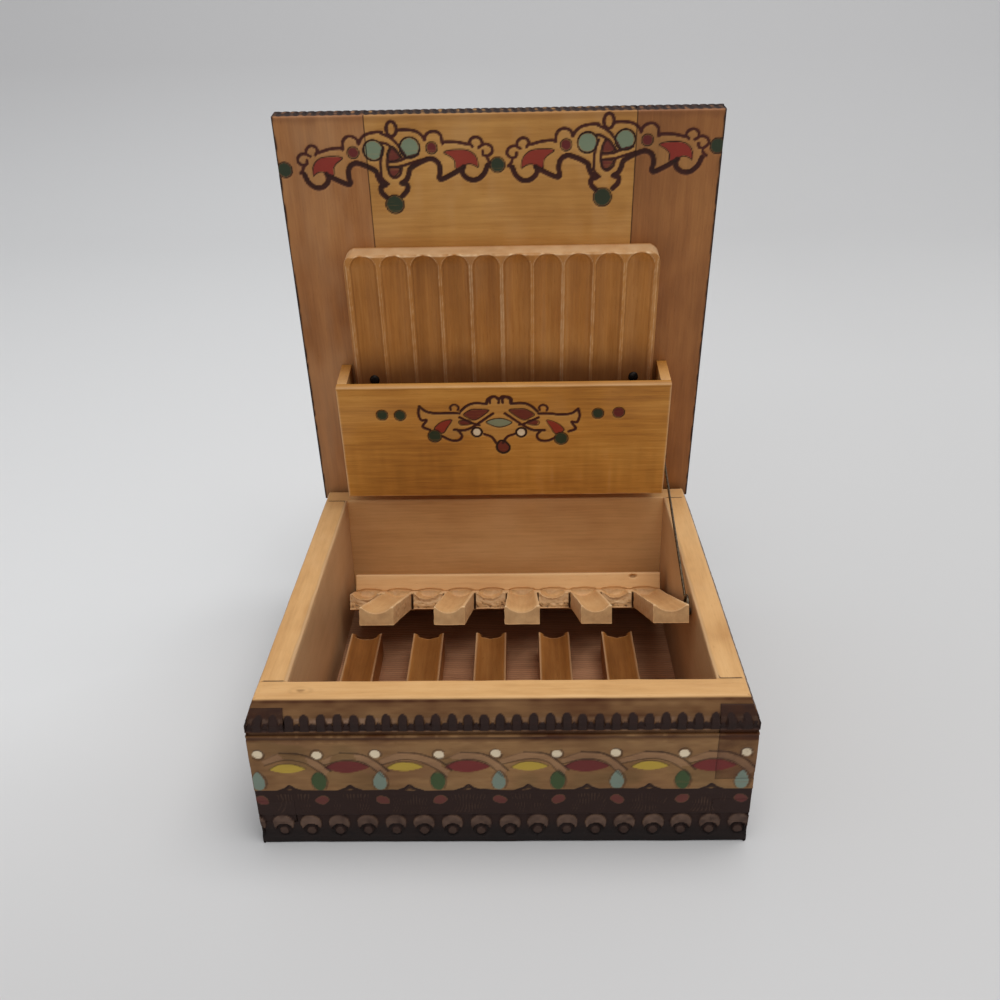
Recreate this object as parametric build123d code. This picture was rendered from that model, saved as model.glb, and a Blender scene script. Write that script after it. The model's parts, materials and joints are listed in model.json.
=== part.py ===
from build123d import *
import math
import os

# A carved wooden cigarette box with a lifting comb.
# Millimetres. The origin is the middle of the box's underside, +Z is up and -Y is the front.
# The model stands as in use: lid open, comb raised. The lid and everything on it is drawn shut
# and then turned about the hinge. The comb is drawn lowered and then turned about its pins.

# Box body
RIM_WIDTH = 130.0
RIM_DEPTH = 130.0
BOX_HEIGHT = 48.0
RIM_THICKNESS = 7.7
BODY_FLARE = 2.9
FLARE_HEIGHT = 7.0
GROOVE_BELOW_RIM = 9.2
GROOVE_WIDTH = 1.2
GROOVE_DEPTH = 0.6

# Corner fingers, measured down from the rim
FINGER_LIP = 1.5
SHORT_FINGER = 7.8
TALL_FINGER = 24.0
LOWER_FINGER_BELOW_RIM = 32.7

# Floor panel, let into a rebate, and its nails
FLOOR_THICKNESS = 5.0
FLOOR_REBATE = 3.0
FLOOR_FIT = 0.1
FLOOR_NAIL_RADIUS = 0.6
FLOOR_NAIL_LENGTH = 12.0
FLOOR_NAIL_HEAD_RADIUS = 1.2
FLOOR_NAIL_HEAD_HEIGHT = 0.6
FLOOR_NAIL_SET_DEPTH = 0.3
FLOOR_NAILS_PER_SIDE = 3
FLOOR_NAIL_FROM_CORNER = 12.3

# Cigarette columns: fixed rails and lifting prongs take turns across the tray
COLUMN_PITCH = 10.85
TRAY_LEFT_GAP = 3.55
TRAY_RIGHT_LEAST_GAP = 2.0
RAIL_HEIGHT = 9.2
RAIL_LENGTH = 77.7
RAIL_SIDE_RELIEF = 0.15
SCOOP_RADIUS = 4.85
SCOOP_DEPTH = 2.0

# Lifting comb
COMB_THICKNESS = 6.2
PRONG_LENGTH = 52.5
PRONG_SIDE_RELIEF = 0.45
COMB_ROOT_GAP = 0.5
COMB_TAIL = 4.0
STOP_SETBACK = 10.2
STOP_HEIGHT = 5.8
STOP_THICKNESS = 6.0
KERF_WIDTH = 0.6
KERF_LENGTH = 2.6
COMB_RAISED_ANGLE = 25.6

# Comb pivot pins, driven through the side walls
PIVOT_TO_BACK_WALL = 5.3
PIN_RADIUS = 0.9
PIN_BITE = 9.0
RUNNING_CLEARANCE = 0.05
HOLE_END_ROOM = 0.5

# Lid of three boards, tongued and grooved
LID_OVERHANG = 2.25
LID_THICKNESS = 7.0
LID_REST_GAP = 0.1
LEFT_STILE_WIDTH = 27.4
RIGHT_STILE_WIDTH = 26.1
TONGUE_THICKNESS = 1.8
TONGUE_LENGTH = 3.0
TONGUE_FIT = 0.1
LID_OPEN_ANGLE = 81.5

# Hinges: an eye pin in the back wall and a staple through it in the lid
HINGE_BEHIND_RIM = 0.1
HINGE_BELOW_RIM = 2.1
HINGE_FROM_LID_EDGE = 17.25
STAPLE_RADIUS = 0.6
STAPLE_WIDTH = 6.0
STAPLE_BITE = 5.0
EYE_WIRE_RADIUS = 0.5
EYE_SHANK_LENGTH = 12.0
NOTCH_SIDE_ROOM = 0.9
NOTCH_ROOM = 0.5

# Pocket on the lid
POCKET_LEFT_GAP = 2.4
POCKET_RIGHT_GAP = 1.8
POCKET_FROM_BACK_EDGE = 12.1
POCKET_HEIGHT = 42.5
POCKET_DEPTH = 17.5
PANEL_THICKNESS = 3.2
CHEEK_THICKNESS = 3.3
POCKET_FLOOR_THICKNESS = 3.0

# Fluted board that stands in the pocket
FLUTE_PITCH = 9.7
FLUTE_DEPTH = 1.9
FLUTE_RADIUS = 4.85
BOARD_THICKNESS = 8.0
BOARD_LENGTH = 79.9
BOARD_SIDE_MARGIN = 1.3
BOARD_LEAST_GAP = 0.5
BOARD_TOP_MARGIN = 1.0
BOARD_CORNER_RADIUS = 3.5
SCREW_ABOVE_POCKET_FLOOR = 36.6
SCREW_HEAD_RADIUS = 1.5
SCREW_HEAD_HEIGHT = 1.0
SCREW_RADIUS = 0.9
SCREW_LENGTH = 8.4

# Lift wire between the pocket's cheek and the last prong
WIRE_RADIUS = 0.4
WIRE_NAIL_RADIUS = 0.6
WIRE_NAIL_HEAD_RADIUS = 1.1
WIRE_NAIL_HEAD_THICKNESS = 0.4
WIRE_SIDE_GAP = 0.2
WIRE_SLACK = 2.3
CHEEK_NAIL_ABOVE_POCKET_BASE = 9.9
CHEEK_NAIL_FROM_LID = 8.0
CHEEK_NAIL_BITE = 2.6
PRONG_NAIL_FROM_TIP = 10.6
PRONG_NAIL_BITE = 7.0

# Places worked out from the sizes above
INNER_HALF_WIDTH = RIM_WIDTH / 2 - RIM_THICKNESS
INNER_HALF_DEPTH = RIM_DEPTH / 2 - RIM_THICKNESS
BODY_HALF_WIDTH = RIM_WIDTH / 2 + BODY_FLARE
BODY_HALF_DEPTH = RIM_DEPTH / 2 + BODY_FLARE
FAR = RIM_WIDTH + RIM_DEPTH + BOX_HEIGHT

COLUMN_ROOM = 2 * INNER_HALF_WIDTH - TRAY_LEFT_GAP - TRAY_RIGHT_LEAST_GAP
COLUMN_COUNT = int(COLUMN_ROOM / COLUMN_PITCH)
TRAY_LEFT = -INNER_HALF_WIDTH + TRAY_LEFT_GAP
TRAY_RIGHT = TRAY_LEFT + COLUMN_COUNT * COLUMN_PITCH
TRAY_TOP = FLOOR_THICKNESS + RAIL_HEIGHT
RAIL_BACK = -INNER_HALF_DEPTH + RAIL_LENGTH

COMB_ROOT = RAIL_BACK + COMB_ROOT_GAP
COMB_TIP = COMB_ROOT - PRONG_LENGTH
COMB_BOTTOM = TRAY_TOP - COMB_THICKNESS
PIVOT_Y = INNER_HALF_DEPTH - PIVOT_TO_BACK_WALL
PIVOT_Z = TRAY_TOP - COMB_THICKNESS / 2
STOP_FACE = COMB_ROOT + STOP_SETBACK

HINGE_Y = RIM_DEPTH / 2 + HINGE_BEHIND_RIM
HINGE_Z = BOX_HEIGHT - HINGE_BELOW_RIM
LID_HALF_WIDTH = RIM_WIDTH / 2 + LID_OVERHANG
LID_BACK = RIM_DEPTH / 2 + LID_OVERHANG
LID_UNDERSIDE = BOX_HEIGHT + LID_REST_GAP

POCKET_LEFT = -INNER_HALF_WIDTH + POCKET_LEFT_GAP
POCKET_RIGHT = INNER_HALF_WIDTH - POCKET_RIGHT_GAP
POCKET_MIDDLE = (POCKET_LEFT + POCKET_RIGHT) / 2
POCKET_INSIDE_WIDTH = POCKET_RIGHT - POCKET_LEFT - 2 * CHEEK_THICKNESS
FLUTE_ROOM = POCKET_INSIDE_WIDTH - 2 * (BOARD_SIDE_MARGIN + BOARD_LEAST_GAP)
FLUTE_COUNT = int(FLUTE_ROOM / FLUTE_PITCH)
BOARD_WIDTH = FLUTE_COUNT * FLUTE_PITCH + 2 * BOARD_SIDE_MARGIN
BOARD_FOOT = POCKET_FROM_BACK_EDGE + POCKET_FLOOR_THICKNESS

WIRE_X = max(POCKET_RIGHT, TRAY_RIGHT - PRONG_SIDE_RELIEF) + WIRE_SIDE_GAP + WIRE_RADIUS


# Basic shapes
def block(low, high):
    """A box between two opposite corners."""
    size = [b - a for a, b in zip(low, high)]
    middle = [(a + b) / 2 for a, b in zip(low, high)]
    return Pos(*middle) * Box(*size)


def rod_x(x_from, x_to, y, z, radius):
    """A round rod along X."""
    length = abs(x_to - x_from)
    return Pos((x_from + x_to) / 2, y, z) * Rot(0, 90, 0) * Cylinder(radius, length)


def rod_y(x, y_from, y_to, z, radius):
    """A round rod along Y."""
    length = abs(y_to - y_from)
    return Pos(x, (y_from + y_to) / 2, z) * Rot(90, 0, 0) * Cylinder(radius, length)


def rod_z(x, y, z_from, z_to, radius):
    """A round rod along Z."""
    length = abs(z_to - z_from)
    return Pos(x, y, (z_from + z_to) / 2) * Cylinder(radius, length)


def eye_x(x, y, z, inner_radius, wire_radius):
    """A round eye of wire whose hole runs along X."""
    return Pos(x, y, z) * Rot(0, 90, 0) * Torus(inner_radius + wire_radius, wire_radius)


def turn_about_x(y, z, degrees):
    """The placing that turns a shape about an axis along X through y, z."""
    return Pos(0, y, z) * Rot(degrees, 0, 0) * Pos(0, -y, -z)


def turned_point(point, y, z, degrees):
    """Where the same turn takes a point given as (y, z)."""
    angle = math.radians(degrees)
    dy = point[0] - y
    dz = point[1] - z
    return (
        y + dy * math.cos(angle) - dz * math.sin(angle),
        z + dy * math.sin(angle) + dz * math.cos(angle),
    )


LID_TURN = turn_about_x(HINGE_Y, HINGE_Z, -LID_OPEN_ANGLE)
COMB_TURN = turn_about_x(PIVOT_Y, PIVOT_Z, -COMB_RAISED_ANGLE)


def on_lid(x, from_back_edge, from_underside):
    """A point on the shut lid, by its distance from the lid's back edge and underside."""
    return (x, LID_BACK - from_back_edge, LID_UNDERSIDE - from_underside)


def lid_block(x_low, x_high, edge_low, edge_high, depth_low, depth_high):
    """A box on the shut lid, measured from the back edge and down from the underside."""
    low = on_lid(x_low, edge_high, depth_high)
    high = on_lid(x_high, edge_low, depth_low)
    return block(low, high)


# Box body
def wall_ring():
    """All four walls as one ring: flared body, sloping rim and the groove round the outside."""
    flare_base = BOX_HEIGHT - FLARE_HEIGHT
    body = block(
        (-BODY_HALF_WIDTH, -BODY_HALF_DEPTH, 0),
        (BODY_HALF_WIDTH, BODY_HALF_DEPTH, flare_base),
    )
    slope = loft(
        [
            Pos(0, 0, flare_base) * Rectangle(2 * BODY_HALF_WIDTH, 2 * BODY_HALF_DEPTH),
            Pos(0, 0, BOX_HEIGHT) * Rectangle(RIM_WIDTH, RIM_DEPTH),
        ],
        ruled=True,
    )
    inside = block(
        (-INNER_HALF_WIDTH, -INNER_HALF_DEPTH, -FAR),
        (INNER_HALF_WIDTH, INNER_HALF_DEPTH, FAR),
    )
    rebate = block(
        (-INNER_HALF_WIDTH - FLOOR_REBATE, -INNER_HALF_DEPTH - FLOOR_REBATE, -FAR),
        (INNER_HALF_WIDTH + FLOOR_REBATE, INNER_HALF_DEPTH + FLOOR_REBATE, FLOOR_THICKNESS),
    )
    groove_top = BOX_HEIGHT - GROOVE_BELOW_RIM
    groove_bottom = groove_top - GROOVE_WIDTH
    groove = block((-FAR, -FAR, groove_bottom), (FAR, FAR, groove_top)) - block(
        (-BODY_HALF_WIDTH + GROOVE_DEPTH, -BODY_HALF_DEPTH + GROOVE_DEPTH, groove_bottom),
        (BODY_HALF_WIDTH - GROOVE_DEPTH, BODY_HALF_DEPTH - GROOVE_DEPTH, groove_top),
    )
    return body + slope - inside - rebate - groove


def corner_fingers(side):
    """The side wall's fingers at its front and back corners; side is -1 for left, 1 for right."""
    top_finger = SHORT_FINGER if side < 0 else TALL_FINGER
    spans = (
        (FINGER_LIP, FINGER_LIP + top_finger),
        (LOWER_FINGER_BELOW_RIM, LOWER_FINGER_BELOW_RIM + SHORT_FINGER),
    )
    x_low, x_high = sorted((side * INNER_HALF_WIDTH, side * FAR))
    fingers = []
    for drop_from, drop_to in spans:
        z_low = BOX_HEIGHT - drop_to
        z_high = BOX_HEIGHT - drop_from
        fingers.append(block((x_low, -FAR, z_low), (x_high, -INNER_HALF_DEPTH, z_high)))
        fingers.append(block((x_low, INNER_HALF_DEPTH, z_low), (x_high, FAR, z_high)))
    return fingers


def pin_hole(side, radius):
    """The comb pin's hole through one side wall."""
    return rod_x(0, side * FAR, PIVOT_Y, PIVOT_Z, radius)


def side_wall(ring, side):
    """A side wall with its corner fingers and the hole for the comb's pin."""
    x_low, x_high = sorted((side * INNER_HALF_WIDTH, side * FAR))
    between = block((x_low, -INNER_HALF_DEPTH, -FAR), (x_high, INNER_HALF_DEPTH, FAR))
    wall = ring & between
    for finger in corner_fingers(side):
        wall += ring & finger
    wall -= pin_hole(side, PIN_RADIUS)
    for nail in floor_nail_list():
        wall -= nail
    return wall


def end_wall(ring, facing):
    """The front wall (facing -1) or back wall (facing 1), cut away where the fingers come."""
    y_low, y_high = sorted((facing * INNER_HALF_DEPTH, facing * FAR))
    wall = ring & block((-FAR, y_low, -FAR), (FAR, y_high, FAR))
    for side in (-1, 1):
        for finger in corner_fingers(side):
            wall -= finger
    for nail in floor_nail_list():
        wall -= nail
    return wall


def hinge_places():
    return (-LID_HALF_WIDTH + HINGE_FROM_LID_EDGE, LID_HALF_WIDTH - HINGE_FROM_LID_EDGE)


def back_wall(ring):
    """The back wall with a notch at its top edge and a shank hole for each hinge eye."""
    wall = end_wall(ring, 1)
    half_width = STAPLE_WIDTH / 2 + STAPLE_RADIUS + NOTCH_SIDE_ROOM
    reach = STAPLE_RADIUS + RUNNING_CLEARANCE + 2 * EYE_WIRE_RADIUS + NOTCH_ROOM
    for x in hinge_places():
        wall -= block(
            (x - half_width, HINGE_Y - reach, HINGE_Z - reach),
            (x + half_width, FAR, FAR),
        )
        wall -= eye_shank(x)
    return wall


def floor_panel():
    half_width = INNER_HALF_WIDTH + FLOOR_REBATE - FLOOR_FIT
    half_depth = INNER_HALF_DEPTH + FLOOR_REBATE - FLOOR_FIT
    panel = block((-half_width, -half_depth, 0), (half_width, half_depth, FLOOR_THICKNESS))
    for nail in floor_nail_list():
        panel -= nail
    for x, y in floor_nail_places():
        panel -= rod_z(x, y, -FLOOR_NAIL_SET_DEPTH, FLOOR_NAIL_SET_DEPTH, FLOOR_NAIL_HEAD_RADIUS)
    return panel


def floor_nail_places():
    """Where the nails go up through the floor's edge into the four walls."""
    reach_x = INNER_HALF_WIDTH + FLOOR_REBATE / 2
    reach_y = INNER_HALF_DEPTH + FLOOR_REBATE / 2
    places = []
    for i in range(FLOOR_NAILS_PER_SIDE):
        share = 2 * i / (FLOOR_NAILS_PER_SIDE - 1) - 1
        along_x = share * (INNER_HALF_WIDTH - FLOOR_NAIL_FROM_CORNER)
        along_y = share * (INNER_HALF_DEPTH - FLOOR_NAIL_FROM_CORNER)
        places.append((along_x, -reach_y))
        places.append((along_x, reach_y))
        places.append((-reach_x, along_y))
        places.append((reach_x, along_y))
    return places


def floor_nail_list():
    """The nails, their heads set a little below the underside."""
    bottom = FLOOR_NAIL_SET_DEPTH
    nails = []
    for x, y in floor_nail_places():
        shank = rod_z(x, y, bottom, FLOOR_NAIL_LENGTH, FLOOR_NAIL_RADIUS)
        head = rod_z(x, y, bottom, bottom + FLOOR_NAIL_HEAD_HEIGHT, FLOOR_NAIL_HEAD_RADIUS)
        nails.append(shank + head)
    return nails


# Tray and comb
def column_span(column):
    left = TRAY_LEFT + column * COLUMN_PITCH
    return left, left + COLUMN_PITCH


def is_prong(column):
    """The last column is a prong, because the lift wire hangs on it, and then every other one."""
    return (COLUMN_COUNT - 1 - column) % 2 == 0


def scoop(column, y_from, y_to):
    """The round hollow along a column in which a cigarette lies."""
    left, right = column_span(column)
    middle = (left + right) / 2
    axis_z = TRAY_TOP + SCOOP_RADIUS - SCOOP_DEPTH
    return rod_y(middle, y_from, y_to, axis_z, SCOOP_RADIUS)


def rail(column):
    left, right = column_span(column)
    body = block(
        (left + RAIL_SIDE_RELIEF, -INNER_HALF_DEPTH, FLOOR_THICKNESS),
        (right - RAIL_SIDE_RELIEF, RAIL_BACK, TRAY_TOP),
    )
    return body - scoop(column, -FAR, FAR)


def comb_board():
    """The comb, drawn lowered: a solid back with prongs that drop between the rails."""
    comb = block(
        (TRAY_LEFT, COMB_ROOT, COMB_BOTTOM),
        (TRAY_RIGHT, PIVOT_Y + COMB_TAIL, TRAY_TOP),
    )
    for column in range(COLUMN_COUNT):
        left, right = column_span(column)
        if is_prong(column):
            comb += block(
                (left + PRONG_SIDE_RELIEF, COMB_TIP, COMB_BOTTOM),
                (right - PRONG_SIDE_RELIEF, COMB_ROOT, TRAY_TOP),
            )
    for column in range(COLUMN_COUNT):
        comb -= scoop(column, -FAR, STOP_FACE)
        left, right = column_span(column)
        if is_prong(column):
            for edge in (left, right):
                if TRAY_LEFT < edge < TRAY_RIGHT:
                    comb -= block(
                        (edge - KERF_WIDTH / 2, COMB_ROOT, COMB_BOTTOM),
                        (edge + KERF_WIDTH / 2, COMB_ROOT + KERF_LENGTH, TRAY_TOP),
                    )
    for side, end in ((-1, TRAY_LEFT), (1, TRAY_RIGHT)):
        inner_end = end - side * (PIN_BITE + HOLE_END_ROOM)
        comb -= rod_x(side * FAR, inner_end, PIVOT_Y, PIVOT_Z, PIN_RADIUS + RUNNING_CLEARANCE)
    comb -= prong_nail_lowered()
    return COMB_TURN * comb


def comb_stop_strip():
    """The strip on the comb's back that the cigarettes' ends stand against."""
    strip = block(
        (TRAY_LEFT, STOP_FACE, TRAY_TOP),
        (TRAY_RIGHT, STOP_FACE + STOP_THICKNESS, TRAY_TOP + STOP_HEIGHT),
    )
    return COMB_TURN * strip


def comb_pivot_pins():
    pins = []
    for side, end in ((-1, TRAY_LEFT), (1, TRAY_RIGHT)):
        outer = side * BODY_HALF_WIDTH
        pins.append(rod_x(outer, end - side * PIN_BITE, PIVOT_Y, PIVOT_Z, PIN_RADIUS))
    return Compound(pins)


# Lid
def lid_joints():
    """The two joint lines between the lid's boards."""
    return (-LID_HALF_WIDTH + LEFT_STILE_WIDTH, LID_HALF_WIDTH - RIGHT_STILE_WIDTH)


def tongue(x_joint, side, fit):
    """One tongue of the centre panel, or with a fit its groove in the stile."""
    middle = -LID_THICKNESS / 2
    half = TONGUE_THICKNESS / 2 + fit
    x_low, x_high = sorted((x_joint, x_joint + side * (TONGUE_LENGTH + fit)))
    return lid_block(x_low, x_high, 0, 2 * LID_BACK, middle - half, middle + half)


def lid_cutters():
    """What is cut out of the lid's boards: the staples' legs and the board's screws."""
    return hinge_staple_list() + board_screw_list()


def lid_board(x_low, x_high):
    return lid_block(x_low, x_high, 0, 2 * LID_BACK, -LID_THICKNESS, 0)


def lid_centre_panel():
    left, right = lid_joints()
    panel = lid_board(left, right) + tongue(left, -1, 0) + tongue(right, 1, 0)
    for cutter in lid_cutters():
        panel -= cutter
    return LID_TURN * panel


def lid_stile(side):
    left, right = lid_joints()
    if side < 0:
        stile = lid_board(-LID_HALF_WIDTH, left) - tongue(left, -1, TONGUE_FIT)
    else:
        stile = lid_board(right, LID_HALF_WIDTH) - tongue(right, 1, TONGUE_FIT)
    for cutter in lid_cutters():
        stile -= cutter
    return LID_TURN * stile


# Hinges
def eye_shank(x):
    top = HINGE_Z - STAPLE_RADIUS - RUNNING_CLEARANCE - EYE_WIRE_RADIUS
    return rod_z(x, HINGE_Y, top - EYE_SHANK_LENGTH, top, EYE_WIRE_RADIUS)


def hinge_eyes():
    eyes = []
    for x in hinge_places():
        inner = STAPLE_RADIUS + RUNNING_CLEARANCE
        eyes.append(eye_x(x, HINGE_Y, HINGE_Z, inner, EYE_WIRE_RADIUS) + eye_shank(x))
    return Compound(eyes)


def hinge_staple_list():
    """Each staple's bar is the hinge axis, and its two legs go up into the shut lid."""
    top = LID_UNDERSIDE + STAPLE_BITE
    staples = []
    for x in hinge_places():
        left = x - STAPLE_WIDTH / 2
        right = x + STAPLE_WIDTH / 2
        staple = rod_x(left, right, HINGE_Y, HINGE_Z, STAPLE_RADIUS)
        for leg_x in (left, right):
            staple += rod_z(leg_x, HINGE_Y, HINGE_Z, top, STAPLE_RADIUS)
            staple += Pos(leg_x, HINGE_Y, HINGE_Z) * Sphere(STAPLE_RADIUS)
        staples.append(staple)
    return staples


def hinge_staples():
    return Compound([LID_TURN * staple for staple in hinge_staple_list()])


# Pocket and fluted board
def pocket_front():
    panel = lid_block(
        POCKET_LEFT,
        POCKET_RIGHT,
        POCKET_FROM_BACK_EDGE,
        POCKET_FROM_BACK_EDGE + POCKET_HEIGHT,
        POCKET_DEPTH - PANEL_THICKNESS,
        POCKET_DEPTH,
    )
    return LID_TURN * panel


def pocket_cheek(side):
    outer = POCKET_LEFT if side < 0 else POCKET_RIGHT
    x_low, x_high = sorted((outer, outer - side * CHEEK_THICKNESS))
    cheek = lid_block(
        x_low,
        x_high,
        POCKET_FROM_BACK_EDGE,
        POCKET_FROM_BACK_EDGE + POCKET_HEIGHT,
        0,
        POCKET_DEPTH - PANEL_THICKNESS,
    )
    if side > 0:
        cheek -= cheek_nail_shut()
    return LID_TURN * cheek


def pocket_floor():
    bottom = lid_block(
        POCKET_LEFT + CHEEK_THICKNESS,
        POCKET_RIGHT - CHEEK_THICKNESS,
        POCKET_FROM_BACK_EDGE,
        BOARD_FOOT,
        0,
        POCKET_DEPTH - PANEL_THICKNESS,
    )
    return LID_TURN * bottom


def flute_middle(flute):
    first = POCKET_MIDDLE - (FLUTE_COUNT - 1) * FLUTE_PITCH / 2
    return first + flute * FLUTE_PITCH


def flute_cutter(flute):
    """A round-nosed flute, open at the board's foot and rounded at its top."""
    x = flute_middle(flute)
    half_chord = math.sqrt(FLUTE_RADIUS**2 - (FLUTE_RADIUS - FLUTE_DEPTH) ** 2)
    top = BOARD_FOOT + BOARD_LENGTH - BOARD_TOP_MARGIN - half_chord
    axis_depth = BOARD_THICKNESS + FLUTE_RADIUS - FLUTE_DEPTH
    _, y_foot, z = on_lid(x, 0, axis_depth)
    _, y_top, _ = on_lid(x, top, axis_depth)
    return rod_y(x, y_foot, y_top, z, FLUTE_RADIUS) + Pos(x, y_top, z) * Sphere(FLUTE_RADIUS)


def board_screw_list():
    """Screws in the first and last flute that hold the board to the lid."""
    y = LID_BACK - BOARD_FOOT - SCREW_ABOVE_POCKET_FLOOR
    head_z = LID_UNDERSIDE - BOARD_THICKNESS + FLUTE_DEPTH
    screws = []
    for flute in (0, FLUTE_COUNT - 1):
        x = flute_middle(flute)
        head = rod_z(x, y, head_z, head_z + SCREW_HEAD_HEIGHT, SCREW_HEAD_RADIUS)
        shank = rod_z(x, y, head_z, head_z + SCREW_LENGTH, SCREW_RADIUS)
        screws.append(head + shank)
    return screws


def fluted_board():
    board = lid_block(
        POCKET_MIDDLE - BOARD_WIDTH / 2,
        POCKET_MIDDLE + BOARD_WIDTH / 2,
        BOARD_FOOT,
        BOARD_FOOT + BOARD_LENGTH,
        0,
        BOARD_THICKNESS,
    )
    top_corners = board.edges().filter_by(Axis.Z).group_by(Axis.Y)[0]
    board = fillet(top_corners, BOARD_CORNER_RADIUS)
    for flute in range(FLUTE_COUNT):
        board -= flute_cutter(flute)
    for screw in board_screw_list():
        board -= screw
    return LID_TURN * board


def fluted_board_screws():
    return Compound([LID_TURN * screw for screw in board_screw_list()])


# Lift wire and its two nails
def wire_nail(x_inner, y, z):
    """A nail along X whose head keeps the wire's eye on it."""
    head_from = WIRE_X + WIRE_RADIUS + WIRE_SIDE_GAP / 2
    head_to = head_from + WIRE_NAIL_HEAD_THICKNESS
    shank = rod_x(x_inner, head_to, y, z, WIRE_NAIL_RADIUS)
    return shank + rod_x(head_from, head_to, y, z, WIRE_NAIL_HEAD_RADIUS)


def cheek_nail_place():
    edge = POCKET_FROM_BACK_EDGE + CHEEK_NAIL_ABOVE_POCKET_BASE
    _, y, z = on_lid(0, edge, CHEEK_NAIL_FROM_LID)
    return y, z


def prong_nail_place():
    return COMB_TIP + PRONG_NAIL_FROM_TIP, PIVOT_Z


def cheek_nail_shut():
    return wire_nail(POCKET_RIGHT - CHEEK_NAIL_BITE, *cheek_nail_place())


def prong_nail_lowered():
    return wire_nail(TRAY_RIGHT - PRONG_SIDE_RELIEF - PRONG_NAIL_BITE, *prong_nail_place())


def lift_wire():
    """The wire as it stands with the lid open, pulled tight between the two nails.

    Its upper eye runs on the cheek's nail. Its lower eye is wide, so that the prong's nail can
    shift in it while the lid turns.
    """
    upper_y, upper_z = turned_point(cheek_nail_place(), HINGE_Y, HINGE_Z, -LID_OPEN_ANGLE)
    nail_y, nail_z = turned_point(prong_nail_place(), PIVOT_Y, PIVOT_Z, -COMB_RAISED_ANGLE)
    reach = math.hypot(upper_y - nail_y, upper_z - nail_z)
    along_y = (upper_y - nail_y) / reach
    along_z = (upper_z - nail_z) / reach
    slack = WIRE_SLACK - RUNNING_CLEARANCE
    lower_y = nail_y + slack * along_y
    lower_z = nail_z + slack * along_z
    small = WIRE_NAIL_RADIUS + RUNNING_CLEARANCE
    wide = WIRE_NAIL_RADIUS + WIRE_SLACK
    start_y = lower_y + (wide + WIRE_RADIUS) * along_y
    start_z = lower_z + (wide + WIRE_RADIUS) * along_z
    end_y = upper_y - (small + WIRE_RADIUS) * along_y
    end_z = upper_z - (small + WIRE_RADIUS) * along_z
    middle = Pos(WIRE_X, (start_y + end_y) / 2, (start_z + end_z) / 2)
    tilt = math.degrees(math.atan2(-along_y, along_z))
    shaft = middle * Rot(tilt, 0, 0) * Cylinder(
        WIRE_RADIUS, math.hypot(end_y - start_y, end_z - start_z)
    )
    return (
        shaft
        + eye_x(WIRE_X, lower_y, lower_z, wide, WIRE_RADIUS)
        + eye_x(WIRE_X, upper_y, upper_z, small, WIRE_RADIUS)
    )


# Every separate piece, by name
def all_parts():
    ring = wall_ring()
    parts = {
        "front_wall": end_wall(ring, -1),
        "back_wall": back_wall(ring),
        "left_wall": side_wall(ring, -1),
        "right_wall": side_wall(ring, 1),
        "floor_panel": floor_panel(),
        "floor_nails": Compound(floor_nail_list()),
        "comb_board": comb_board(),
        "comb_stop_strip": comb_stop_strip(),
        "comb_pivot_pins": comb_pivot_pins(),
        "prong_wire_nail": COMB_TURN * prong_nail_lowered(),
        "lid_centre_panel": lid_centre_panel(),
        "lid_left_stile": lid_stile(-1),
        "lid_right_stile": lid_stile(1),
        "hinge_eyes": hinge_eyes(),
        "hinge_staples": hinge_staples(),
        "pocket_front": pocket_front(),
        "pocket_left_cheek": pocket_cheek(-1),
        "pocket_right_cheek": pocket_cheek(1),
        "pocket_floor": pocket_floor(),
        "cheek_wire_nail": LID_TURN * cheek_nail_shut(),
        "fluted_board": fluted_board(),
        "fluted_board_screws": fluted_board_screws(),
        "lift_wire": lift_wire(),
    }
    rail_columns = [column for column in range(COLUMN_COUNT) if not is_prong(column)]
    for number, column in enumerate(rail_columns, start=1):
        parts[f"rail_{number}"] = rail(column)
    return parts


os.makedirs("parts", exist_ok=True)
for name, shape in all_parts().items():
    export_step(shape, f"parts/{name}.step")
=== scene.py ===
import json
import math

import bpy
import numpy as np
from mathutils import Matrix, Vector


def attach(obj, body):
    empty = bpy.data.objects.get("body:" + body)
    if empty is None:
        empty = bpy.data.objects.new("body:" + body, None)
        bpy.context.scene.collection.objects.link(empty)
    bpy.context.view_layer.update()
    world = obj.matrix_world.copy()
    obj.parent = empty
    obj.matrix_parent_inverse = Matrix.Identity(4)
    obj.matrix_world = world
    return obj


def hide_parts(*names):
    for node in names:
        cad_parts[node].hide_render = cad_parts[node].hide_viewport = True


# The looks of the carved cigarette box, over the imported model.
# Shapes are worked out in millimetres in the row frame and turned to metres when a mesh is made.
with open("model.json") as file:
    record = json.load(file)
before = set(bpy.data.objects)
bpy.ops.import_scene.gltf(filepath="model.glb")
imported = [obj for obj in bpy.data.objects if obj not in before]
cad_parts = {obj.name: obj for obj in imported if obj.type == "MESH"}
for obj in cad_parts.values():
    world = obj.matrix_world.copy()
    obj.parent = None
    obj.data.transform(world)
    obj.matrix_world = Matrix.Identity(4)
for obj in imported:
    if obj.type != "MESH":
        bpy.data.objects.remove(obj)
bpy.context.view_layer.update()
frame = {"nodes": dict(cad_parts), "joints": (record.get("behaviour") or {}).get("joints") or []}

MM = 0.001
JOINTS = {joint["name"]: joint for joint in frame["joints"]}


def columns(*values):
    """Points, from arrays of their coordinates."""
    return np.stack(values, axis=1)


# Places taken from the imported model
def node_points(node):
    """The corners of a CAD node's mesh, in millimetres."""
    mesh = frame["nodes"][node].data
    points = np.zeros(len(mesh.vertices) * 3)
    mesh.vertices.foreach_get("co", points)
    return points.reshape(-1, 3) / MM


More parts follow.
